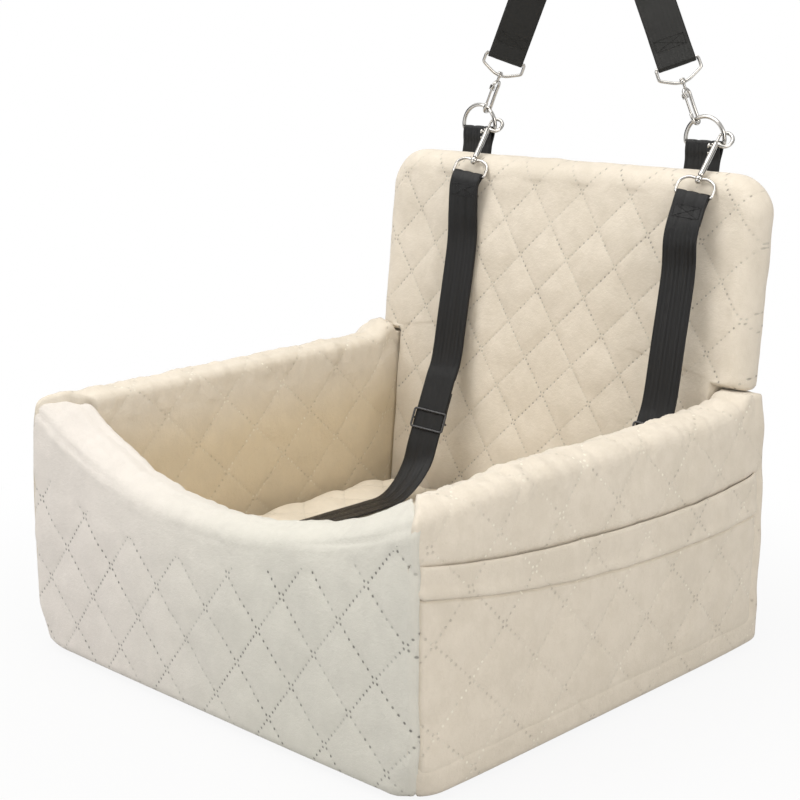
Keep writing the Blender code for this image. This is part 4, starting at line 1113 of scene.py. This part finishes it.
# Turned bar: profile pairs are shares of the way from start to end, and radii
def lathe(bm, start, end, profile, sides=24, matrix=None):
    start, end = Vector(start), Vector(end)
    along = (end - start).normalized()
    side = along.orthogonal().normalized()
    top = along.cross(side)
    rings = [addRing(bm, start.lerp(end, at), side, top, size, sides, matrix) for at, size in profile]
    joinRings(bm, rings)


# Turned bar on the y axis of a piece
def rod(bm, start, end, profile, sides, matrix):
    lathe(bm, (0, start, 0), (0, end, 0), profile, sides, matrix)


def block(bm, low, high, bevel, matrix):
    part = bmesh.new()
    bmesh.ops.create_cube(part, size=1)
    middle = (Vector(low) + Vector(high)) / 2
    size = Vector(high) - Vector(low)
    for vert in part.verts:
        vert.co = Vector([middle[i] + vert.co[i] * size[i] for i in range(3)])
    bmesh.ops.bevel(part, geom=part.edges[:], offset=bevel, segments=2, affect="EDGES", profile=0.6)
    table = {vert.index: bm.verts.new(matrix @ vert.co) for vert in part.verts}
    for face in part.faces:
        bm.faces.new([table[v.index] for v in face.verts])
    part.free()


# Profile of a straight bar with eased ends
def bar(radius):
    e = radius * 0.25
    half = [(0, radius * 0.72), (e * 0.4, radius * 0.92), (e, radius)]
    return half + [(1 - share, size) for share, size in reversed(half)]


sharpAngle = math.radians(38)


def metalPiece(name, bm, finish, body, node):
    bmesh.ops.recalc_face_normals(bm, faces=bm.faces)
    for edge in bm.edges:
        if len(edge.link_faces) == 2 and edge.calc_face_angle(0) > sharpAngle:
            edge.smooth = False
    for face in bm.faces:
        face.smooth = True
    obj = builtObject(name, bm, [finish])
    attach(obj, body)
    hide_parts(node)
    return obj


def flatPath(points):
    return [Vector((x, y, 0)) for x, y in points]


def mirroredPath(half):
    return smoothPath(flatPath(half + [(-x, y) for x, y in reversed(half)]))


def makeRings():
    r = fitData["ring"]
    for side in ("left", "right"):
        x, z, bend = ringX(side), r["barZ"], r["bend"]
        outline = arcPoints((x + r["radius"] - bend, z + bend), bend, 270, 360, 6)
        outline += arcPoints((x, z + r["leg"]), r["radius"], 0, 180, 44)
        outline += arcPoints((x - r["radius"] + bend, z + bend), bend, 180, 270, 6)
        bm = bmesh.new()
        sweep(bm, [Vector((px, r["plane"], pz)) for px, pz in outline], r["wire"], (0, 1, 0), 20, closed=True)
        metalPiece(side + "Ring", bm, nickel, side + "_ring", side + "_ring")


def makeSnap(name, body, eye, bodyName, eyeBody, node):
    s, b, e = fitData["snap"], fitData["bolt"], fitData["eye"]
    play = 2 * e["barrelHalf"]
    base = -s["length"]
    bm = bmesh.new()
    shank = [(0, 0.80), (0.02, 0.97), (0.05, 1.04), (0.10, 1), (0.30, 0.98), (0.34, 0.90), (0.38, 0.98),
             (0.92, 1), (0.97, 0.95), (1.0, 0.78)]
    rod(bm, base + play, s["mouth"], [(at, s["shank"] * size) for at, size in shank], 24, body)
    hook = [(s["middle"][0] + s["hook"][0] * math.cos(a), s["middle"][1] + s["hook"][1] * math.sin(a))
            for a in np.radians(np.linspace(235, 520, 40))]
    radii = [s["wire"] * (1.28 - 0.28 * min(1, k / 8)) for k in range(34)]
    radii += [s["wire"] * (1 - 0.05 * k) for k in range(1, 7)]
    sweep(bm, flatPath(hook), radii, (0, 0, 1), 18, matrix=body)
    rod(bm, base - play, base + play + 0.001, bar(s["stem"]), 16, body)
    head = [(0, 0.45), (0.25, 0.75), (0.7, 0.97), (0.9, 1.0), (1, 0.9)]
    head = [(at, s["head"] * size) for at, size in head]
    rod(bm, base - play - 0.0018, base - play + 0.0002, head, 20, body)
    slot = -s["shank"] * 0.72
    for low in (b["knob"] - b["travel"] - 0.0026, b["knob"] + 0.0017):
        block(bm, (slot - 0.0012, low, -0.0021), (slot + 0.0002, low + 0.001, 0.0021), 0.0003, body)
    snap = metalPiece(name + "Snap", bm, nickel, bodyName + "_snap", node + "_snap")
    bm = bmesh.new()
    rod(bm, b["rear"], b["tip"], bar(b["pin"]), 14, body)
    knob = [(0, 0.0013), (0.05, 0.0022), (0.14, 0.0025), (0.26, 0.0025), (0.34, 0.0020), (0.42, 0.0010),
            (1, 0.0010)]
    lathe(bm, (-0.0066, b["knob"], 0), (-0.0005, b["knob"], 0), knob, 18, body)
    bolt = metalPiece(name + "Bolt", bm, nickel, bodyName + "_bolt", node + "_bolt")
    bm = bmesh.new()
    edge, foot = -e["half"], -e["drop"]
    half = [(-0.0030, 0), (-0.008, 0.0006), (edge + 0.0060, -0.0006), (edge + 0.0022, -0.0032),
            (edge + 0.0002, -0.0072), (edge, foot + 0.0040), (edge + 0.0001, foot + 0.0016),
            (edge + 0.0012, foot + 0.0001), (edge + 0.0032, foot)]
    sweep(bm, mirroredPath(half), e["wire"], (0, 0, 1), 16, matrix=eye)
    barrel = [(0, 0.0030), (0.08, e["barrel"] * 0.93), (0.25, e["barrel"]), (0.75, e["barrel"]),
              (0.92, e["barrel"] * 0.93), (1, 0.0030)]
    rod(bm, -e["barrelHalf"], e["barrelHalf"], barrel, 24, eye)
    loop = metalPiece(name + "Eye", bm, nickel, eyeBody, node + "_eye")
    return [snap, bolt, loop]


def makeSlider(name, matrix, width, clothHalf, wireSize, halfLength, body, node):
    half = width / 2 + 0.0002 + wireSize
    bend = 0.0022
    bm = bmesh.new()
    outline = []
    for sx, sy, start in ((1, 1, 0), (-1, 1, 90), (-1, -1, 180), (1, -1, 270)):
        outline += arcPoints((sx * (half - bend), sy * (halfLength - bend)), bend, start, start + 90, 6)
    out = clothHalf + wireSize + fitData["gap"]
    sweep(bm, [Vector((x, y, out)) for x, y in outline], wireSize, (0, 0, 1), 14, True, matrix)
    barPath = [(-half, out), (-half, 0), (-half + 0.0008, -out), (0, -out), (half - 0.0008, -out), (half, 0),
               (half, out)]
    barPath = smoothPath([Vector((x, 0, z)) for x, z in barPath])
    sweep(bm, barPath, wireSize * 0.98, (0, 1, 0), 14, False, matrix)
    return metalPiece(name, bm, darkSteel, body, node)


def makeSlingHooks():
    s = fitData["sling"]
    pieces = []
    for side in ("left", "right"):
        hook, loop = slingAxes(side)
        bm = bmesh.new()
        half, hinge, collar = s["hookHalf"], s["gateHinge"], s["collar"]
        top = s["hookLength"] - half
        path = [(half, hinge - 0.0015), (half, hinge)] + arcPoints((0, top), half, 0, 180, 18)
        path += [(-half + 0.0004 * math.sin(math.pi * k / 8), top + (half - top) * k / 8)
                 for k in range(1, 8)]
        path += arcPoints((0, half), half, 180, 360, 20) + [(half, s["nose"])]
        sweep(bm, flatPath(path), s["hookWire"], (0, 0, 1), 18, matrix=hook)
        rod(bm, s["hookLength"] - 0.001, collar + 0.003, bar(0.0015), 16, hook)
        head = [(0, 0.0024), (0.2, 0.0028), (0.6, 0.0026), (0.9, 0.0018), (1, 0.0010)]
        rod(bm, collar + 0.0021, collar + 0.0041, head, 20, hook)
        piece = metalPiece(side + "HeadHook", bm, nickel, side + "_hook", side + "_head_hook")
        pieces.append(piece)
        bm = bmesh.new()
        cheek = s["hookWire"] + fitData["gap"]
        outside = cheek + 0.0008
        x0, x1 = half - s["gateBar"], half + s["gateBar"]
        lathe(bm, (half, s["nose"] + 0.0004, 0), (half, hinge - 0.003, 0), bar(s["gateBar"]), 14, hook)
        block(bm, (x0, hinge - 0.0038, -outside), (x1, hinge - 0.0023, outside), 0.0003, hook)
        for low, high in ((-outside, -cheek), (cheek, outside)):
            block(bm, (x0 - 0.0001, hinge - 0.0036, low), (x1 + 0.0001, hinge + 0.0016, high), 0.0003, hook)
        lathe(bm, (half, hinge, -outside - 0.0003), (half, hinge, outside + 0.0003), bar(0.0007), 12, hook)
        piece = metalPiece(side + "HeadGate", bm, nickel, side + "_gate", side + "_head_gate")
        pieces.append(piece)
        bm = bmesh.new()
        edge, high, knee = -s["loopHalf"], s["loopHeight"], s["loopHeight"] - s["loopSide"]
        path = [(-0.0026, 0), (-0.0075, 0.0012), (-0.0160, 0.0054), (edge + 0.001, knee - 0.001),
                (edge, knee + 0.001), (edge, high - 0.0040), (edge + 0.0001, high - 0.0020),
                (edge + 0.0010, high - 0.0005), (edge + 0.0030, high)]
        sweep(bm, mirroredPath(path), s["loopWire"], (0, 0, 1), 16, matrix=loop)
        barrel = [(0, 0.0026), (0.1, 0.0031), (0.3, 0.0034), (0.7, 0.0034), (0.9, 0.0031), (1, 0.0026)]
        rod(bm, -0.0019, 0.0019, barrel, 22, loop)
        piece = metalPiece(side + "HeadLoop", bm, nickel, "head_sling", side + "_head_loop")
        pieces.append(piece)
    return pieces


# Webbing

# Smooth line through chosen points, read by its length
class Route:

    def __init__(self, points, widthAt, steps=12):
        self.points = [points[0]]
        for four in fours(points):
            self.points += [onCurve(*four, k / steps) for k in range(1, steps + 1)]
        self.lengths = [0]
        for a, b in zip(self.points, self.points[1:]):
            self.lengths.append(self.lengths[-1] + (b - a).length)
        self.length = self.lengths[-1]
        self.widthAt = widthAt

    def spot(self, s):
        i = 0
        while i < len(self.points) - 2 and self.lengths[i + 1] < s:
            i += 1
        a, b = self.points[i], self.points[i + 1]
        return a + (b - a) * (s - self.lengths[i]) / (self.lengths[i + 1] - self.lengths[i])

    def axes(self, s):
        along = (self.spot(s + 0.002) - self.spot(s - 0.002)).normalized()
        wide = self.widthAt(self.spot(s))
        wide = (wide - wide.dot(along) * along).normalized()
        return along, wide, along.cross(wide)

    def pathOf(self, steps):
        return [tuple(self.spot(self.length * k / steps)) for k in range(steps + 1)]

    # Length at which the line first comes down to a height
    def near(self, z):
        for point, length in zip(self.points, self.lengths):
            if point.z <= z:
                return length
        return self.length


def readTable(value, table):
    if value <= table[0][0]:
        return table[0][1]
    for (a, fa), (b, fb) in zip(table, table[1:]):
        if value <= b:
            return fa + (fb - fa) * (value - a) / (b - a)
    return table[-1][1]


def runPoints(start, end, nStart, nEnd, step=0.006):
    count = max(2, round(abs(end - start) / step))
    return [(start + (end - start) * k / count, nStart + (nEnd - nStart) * k / count)
            for k in range(count + 1)]


def turnPoints(s, n, radius, start, end, steps=8):
    return [(s + dx, n + dn) for dx, dn in arcPoints((0, 0), radius, start, end, steps)]


# Flat webbing with rounded selvedges and two shallow lengthwise grooves. UV is in metres
def webbingStrip(name, route, layers, width, cloth, finish, ribs=((0.36, 0.0006), (-0.36, 0.0006))):
    centres = [route.spot(s) + route.axes(s)[2] * n for s, n in layers]
    wides = [route.axes(s)[1] for s, n in layers]
    steps = 3
    fine = smoothPath(centres, steps)
    fineWide = [a.lerp(b, k / steps) for a, b in zip(wides, wides[1:]) for k in range(steps)] + [wides[-1]]
    profile = []
    columns = 17
    for k in range(columns):
        u = -1 + 2 * k / (columns - 1)
        drop = 0.0
        for place, deep in ribs:
            drop = max(drop, deep * math.exp(-((u - place) / 0.10) ** 2))
        edge = cloth / 2 * (1 - 0.35 * abs(u) ** 12)
        profile.append((u * width / 2, edge - drop))
    section = profile + [(x, -h) for x, h in reversed(profile)]
    count = len(section)
    grid, uv, kind = emptyGrid(len(fine), count)
    length = 0.0
    for i, point in enumerate(fine):
        before = fine[i - 1] if i else point
        after = fine[i + 1] if i + 1 < len(fine) else point
        along = (after - before).normalized()
        wide = (fineWide[i] - fineWide[i].dot(along) * along).normalized()
        thick = along.cross(wide)
        if i:
            length += (point - before).length
        for j, (x, h) in enumerate(section):
            place = point + wide * x + thick * h
            grid[i, j] = (place.x, place.y, place.z)
            uv[i, j] = (x, length)
        uv[i, count] = uv[i, 0]
    return gridPiece(name, grid, uv, [finish], kind)


threadData = {"stitch": 0.0024, "radius": 0.00028, "bow": 0.00012, "sunk": 0.0001, "inset": 0.40}


# Box of thread with a cross in it, which holds a sewn fold
def stitchBox(name, route, start, end, width, height, finish):
    p = threadData
    bm = bmesh.new()
    inset = width * p["inset"]
    a, b, c, d = (start, -inset), (start, inset), (end, inset), (end, -inset)
    for (s0, w0), (s1, w1) in ((a, d), (b, c), (a, b), (d, c), (a, c), (b, d)):
        steps = max(2, round(math.hypot(s1 - s0, w1 - w0) / p["stitch"]))
        for k in range(steps):
            t0, t1 = (k + 0.12) / steps, (k + 0.88) / steps
            ends = []
            for t in (t0, (t0 + t1) / 2, t1):
                s = s0 + (s1 - s0) * t
                wide, face = route.axes(s)[1:]
                rise = height + (-p["sunk"] if t in (t0, t1) else p["bow"])
                ends.append(route.spot(s) + wide * (w0 + (w1 - w0) * t) + face * rise)
            sweep(bm, ends, p["radius"], route.axes(s0)[2], 6)
    obj = builtObject(name, bm, [finish])
    obj.data.polygons.foreach_set("use_smooth", [True] * len(obj.data.polygons))
    return obj


def tetherRoute(side):
    t, e = fitData["tether"], fitData["eye"]
    x, shift = tetherX(side), t["shift"][side]
    upperEye = upperAxes(side)[1]
    upper = upperEye @ Vector((0, -e["drop"], 0))
    lower = lowerAxes(side)[1] @ Vector((0, -e["drop"], 0))
    rest = cushionTop(abs(x) - t["width"] / 2, 0) + fitData["gap"] + t["space"] + t["cloth"] / 2
    top, foot = Vector(t["top"]), Vector(t["foot"])
    straight = [tuple(top + (foot - top) * k / 5) for k in range(6)]
    hanging = t["hang"] + straight + [t["curl"]]
    eye = upperEye.to_3x3()
    points = [upper, upper - eye @ Vector((0, 0.013, 0))] + [Vector((x, y + shift, z)) for y, z in hanging]
    points += [Vector((x, y + shift, rest + rise)) for y, rise in ((0.104, 0.0015), (0.078, 0), (0.030, 0))]
    points += [Vector((x, lower.y + 0.020, rest)), lower]

    def widthAt(point):
        hang = turned(readTable(point.z, [(0.105, 0), (0.145, 1.4 * e["turn"]), (upper.z, e["turn"])]))
        share = readTable(point.z, [(upper.z - 0.060, 0), (upper.z - 0.012, 1)])
        return hang.lerp(eye @ Vector((1, 0, 0)), share)

    return Route(points, widthAt)


# Layers of a webbing: places along the route, and how far each lies off it
def tetherLayers(length, slider, room):
    t = fitData["tether"]
    turn = fitData["eye"]["wire"] + fitData["gap"] + t["cloth"] / 2
    space = t["space"]
    ease = (turn + space) / 2
    layers = runPoints(slider - room, 0.014, -space, -space) + [(0.007, -ease)]
    layers += [(-s, n) for s, n in turnPoints(0, 0, turn, -90, 90)] + [(0.007, ease)]
    layers += runPoints(0.014, length - 0.014, space, space) + [(length - 0.007, ease)]
    layers += turnPoints(length, 0, turn, 90, -90) + [(length - 0.007, -ease)]
    return layers + runPoints(length - 0.014, length - t["sewn"], -space, -space)


def tailLayers(slider):
    t = fitData["tether"]
    turn = t["sliderWire"] + fitData["gap"] + t["cloth"] / 2
    middle = -t["space"] - turn
    back = -t["space"] - t["cloth"] - fitData["gap"]
    layers = [(slider - 0.0045, -t["space"])] + turnPoints(slider, middle, turn, 90, -90)
    layers += [(slider - 0.005, middle - 0.0016), (slider - 0.010, back - 0.0009), (slider - 0.0145, back)]
    return layers + runPoints(slider - 0.019, slider - t["tail"], back, back)


def makeTethers():
    t = fitData["tether"]
    for side in ("left", "right"):
        route = tetherRoute(side)
        place = route.near(t["sliderZ"][side])
        layers, tail = tetherLayers(route.length, place, t["room"][side]), tailLayers(place)
        if side == "right":
            layers = tetherLayers(route.length, route.length - place, t["room"][side])
            layers = [(route.length - s, n) for s, n in layers]
            tail = [(2 * place - s, n) for s, n in tail]
        along, wide = route.axes(place)[:2]
        matrix = axesAt(route.spot(place), wide, -along)
        slider = makeSlider(side + "TetherSlider", matrix, t["width"], t["space"] + t["cloth"] / 2,
                            t["sliderWire"], t["sliderHalf"], side + "_slider", side + "_tether_slider")
        webbing = webbingStrip(side + "Tether", route, layers, t["width"], t["cloth"], tetherWeb)
        tuple(route.spot(route.near(0.150)))
        tuple(route.spot(route.near(0.1085)))
        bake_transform(webbing)
        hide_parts(side + "_tether_webbing")
        tailPiece = webbingStrip(side + "TetherTail", route, tail, t["width"], t["cloth"], tetherWeb)
        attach(tailPiece, side + "_slider")
        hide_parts(side + "_tether_tail")
        upper = makeSnap(side + "Upper", *upperAxes(side), side + "_upper", "seat", side + "_upper")
        lower = makeSnap(side + "Lower", *lowerAxes(side), side + "_lower", "cushion", side + "_lower")
        sewn = stitchBox(side + "UpperStitches", route, 0.012, 0.024, t["width"],
                         t["space"] + t["cloth"] / 2 + threadData["sunk"], tetherWeb)
        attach(sewn, "seat")
        exitPoint = upperAxes(side)[1] @ Vector((0, -fitData["eye"]["drop"], 0))
        route.pathOf(100)


def slingRoute():
    s, r = fitData["sling"], fitData["ring"]
    lean = math.radians(s["lean"])
    start = slingAxes("left")[1] @ Vector((0, s["loopHeight"], 0))
    up = slingUp("left")
    bendZ = s["topZ"] - s["topBend"] * (1 - math.sin(lean))
    climb = (bendZ - start.z) / up.z
    half = [start + up * climb * k / 6 for k in range(7)]
    corner = half[-1]
    middle = (corner.x + s["topBend"] * math.cos(lean), s["topZ"] - s["topBend"])
    bend = arcPoints(middle, s["topBend"], 180 - s["lean"], 90, 4)
    half += [Vector((x, r["plane"], z)) for x, z in bend[1:]]
    other = [Vector((2 * r["middle"] - p.x, p.y, p.z)) for p in reversed(half)]
    flatTop = [half[-1].lerp(other[0], k / 4) for k in (1, 2, 3)]

    def widthAt(point):
        share = max(0, min(1, (point.z - s["turnZ"]) / (s["topZ"] - 0.004 - s["turnZ"])))
        return turned(fitData["faceTurn"] + (90 - fitData["faceTurn"]) * share)

    return Route(half + flatTop + other, widthAt)


def slingLayers(length):
    s = fitData["sling"]
    turn = s["loopWire"] + fitData["gap"] + s["cloth"] / 2
    space = (s["cloth"] + fitData["gap"]) / 2
    ease = (turn + space) / 2
    sewn = fitData["tether"]["sewn"]
    layers = runPoints(sewn, 0.016, space, space) + [(0.008, ease)]
    layers += [(-a, n) for a, n in turnPoints(0, 0, turn, 90, -90)] + [(0.008, -ease)]
    layers += runPoints(0.016, 0.045, -space, -space) + runPoints(0.065, length - 0.065, 0, 0)
    layers += runPoints(length - 0.045, length - 0.016, space, space) + [(length - 0.008, ease)]
    layers += turnPoints(length, 0, turn, 90, -90) + [(length - 0.008, -ease)]
    return layers + runPoints(length - 0.016, length - sewn, -space, -space)


def makeSling():
    s = fitData["sling"]
    hooks = makeSlingHooks()
    route = slingRoute()
    strap = webbingStrip("headStrap", route, slingLayers(route.length), s["width"], s["cloth"], slingWeb,
                         ribs=((0.72, 0.0002), (-0.72, 0.0002)))
    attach(strap, "head_sling")
    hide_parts("head_strap")
    middle = route.length / 2
    along, wide = route.axes(middle)[:2]
    slider = makeSlider("headSlider", axesAt(route.spot(middle), wide, -along), s["width"], s["cloth"] / 2,
                        s["sliderWire"], s["sliderHalf"], "head_slider", "head_slider")
    space = (s["cloth"] + fitData["gap"]) / 2 + s["cloth"] / 2
    for name, a, b, sign in (("leftSlingStitches", 0.016, 0.027, -1),
                             ("rightSlingStitches", route.length - 0.016, route.length - 0.027, 1)):
        sewn = stitchBox(name, route, a, b, s["width"], sign * (space + threadData["sunk"]), slingWeb)
        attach(sewn, "head_sling")
    tuple(route.spot(0))
    route.pathOf(80)


# Webbing tab round each ring's bar, sewn into the backrest's top seam
def makeTabs():
    r, tab, gap = fitData["ring"], fitData["tab"], fitData["gap"]
    for side in ("left", "right"):
        lean = math.atan2(r["plane"] - tab["footY"], r["barZ"] - backData["top"])
        down = Vector((0, -math.sin(lean), -math.cos(lean)))
        out = Vector((0, math.cos(lean), -math.sin(lean)))
        centre = Vector((ringX(side), r["plane"], r["barZ"]))
        width = 2 * (r["radius"] - r["wire"] - gap)
        turn = r["wire"] + gap + tab["cloth"] / 2
        close = tab["cloth"] / 2 + 0.0001
        reach = r["barZ"] - backData["top"] + 0.010
        legs = [(0.004 + (reach - 0.004) * k / 7, turn + (close - turn) * soft(k / 7, 0.0, 0.45))
                for k in range(8)]
        points = [centre + down * s + out * n for s, n in reversed(legs)]
        points += [centre + out * turn * math.cos(a) - down * turn * math.sin(a)
                   for a in np.linspace(0, math.pi, 11)]
        points += [centre + down * s - out * n for s, n in legs]
        line = Route(points, lambda place: Vector((1, 0, 0)), steps=2)
        layers = [(line.length * k / 40, 0) for k in range(41)]
        obj = webbingStrip(side + "RingTab", line, layers, width, tab["cloth"], tetherWeb)
        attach(obj, "seat")
        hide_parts(side + "_ring_tab")


makeRings()
makeTethers()
print("tethers made")
makeSling()
makeTabs()
print("sling made")


# Finishes of the parts that stay as the model has them

for node in ("base_board", "backrest_board"):
    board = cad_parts[node]
    board.data.materials.clear()
    board.data.materials.append(boardFibre)


# Floor, backdrop and light

# mirroredRoom: what metal reflects, from straight down to straight up
stageData = {
    "floorHalf": 6, "floorTone": 0.55, "key": 18, "fill": 18, "top": 32, "ambient": 0.60, "glow": 0.90,
    "mirroredRoom": ((0.0, 0.8), (0.36, 0.7), (0.43, 0.02), (0.60, 0.03), (0.70, 0.95), (1.0, 0.6)),
}


def makeFloor(p):
    mat, shader = newFinish("paleFloor", (p["floorTone"],) * 3, 0.9)
    glow = addNode(mat, "Emission")
    glow.inputs["Color"].default_value = (1, 1, 1, 1)
    rays = addNode(mat, "LightPath").outputs
    place = places(mat)[0]
    reach = addNode(mat, "VectorMath")
    reach.operation = "LENGTH"
    wire(mat, place, reach.inputs[0])
    share = span(mat, reach.outputs["Value"], 0.30, 0.75, p["glow"], 1.0)
    seen = calc(mat, "MAXIMUM", rays["Is Camera Ray"], rays["Is Glossy Ray"])
    seen = calc(mat, "MAXIMUM", seen, rays["Is Transmission Ray"])
    mixed = shaderMix(mat, calc(mat, "MULTIPLY", seen, share), shader.outputs[0], glow.outputs[0])
    wire(mat, mixed, mat.node_tree.nodes["Material Output"].inputs["Surface"])
    half = p["floorHalf"]
    mesh = bpy.data.meshes.new("floor")
    corners = [(-half, -half, 0), (half, -half, 0), (half, half, 0), (-half, half, 0)]
    mesh.from_pydata(corners, [], [(0, 1, 2, 3)])
    floor = meshObject("floor", mesh, [mat])


def makeWorld(p):
    world = bpy.data.worlds.new("studio")
    bpy.context.scene.world = world
    world.use_nodes = True
    nodes = world.node_tree.nodes
    plain = nodes["Background"]
    plain.inputs["Color"].default_value = (1.0, 0.985, 0.965, 1)
    plain.inputs["Strength"].default_value = p["ambient"]
    white, room = addNode(world, "Background"), addNode(world, "Background")
    white.inputs["Color"].default_value = (1, 1, 1, 1)
    coords = addNode(world, "TexCoord")
    bands = addNode(world, "ValToRGB")
    bands.color_ramp.interpolation = "EASE"
    greys = p["mirroredRoom"]
    for spot, grey in greys[1:-1]:
        bands.color_ramp.elements.new(spot).color = (grey, grey, grey, 1)
    for end, (spot, grey) in ((0, greys[0]), (-1, greys[-1])):
        bands.color_ramp.elements[end].color = (grey, grey, grey, 1)
    height = addNode(world, "MapRange")
    height.inputs["From Min"].default_value = -1
    wire(world, axisParts(world, coords.outputs["Generated"])["Z"], height.inputs["Value"])
    wire(world, height.outputs["Result"], bands.inputs["Fac"])
    wire(world, bands.outputs["Color"], room.inputs["Color"])
    rays = addNode(world, "LightPath").outputs
    mirrored = shaderMix(world, rays["Is Glossy Ray"], plain.outputs[0], room.outputs[0])
    seen = calc(world, "MAXIMUM", rays["Is Camera Ray"], rays["Is Transmission Ray"])
    wire(world, shaderMix(world, seen, mirrored, white.outputs[0]), nodes["World Output"].inputs["Surface"])


def addLamp(name, place, target, size, power, colour):
    lamp = bpy.data.lights.new(name, "AREA")
    lamp.shape = "RECTANGLE"
    lamp.size, lamp.size_y = size
    lamp.energy = power
    lamp.color = colour
    obj = bpy.data.objects.new(name, lamp)
    obj.location = place
    direction = Vector(target) - Vector(place)
    obj.rotation_euler = direction.to_track_quat("-Z", "Y").to_euler()
    bpy.context.scene.collection.objects.link(obj)


makeFloor(stageData)
makeWorld(stageData)
addLamp("keyLamp", (-1.2, -2.1, 1.5), (0, 0, 0.15), (1.6, 1.4), stageData["key"], (1.0, 0.985, 0.97))
addLamp("fillLamp", (2.2, -0.5, 1.2), (0, 0, 0.2), (1.4, 1.4), stageData["fill"], (1.0, 0.955, 0.90))
addLamp("topLamp", (-0.2, -0.35, 2.3), (0, 0, 0.2), (1.8, 1.8), stageData["top"], (1.0, 0.98, 0.95))
bpy.context.scene.view_settings.view_transform = "Standard"
print("stage and lamps set")
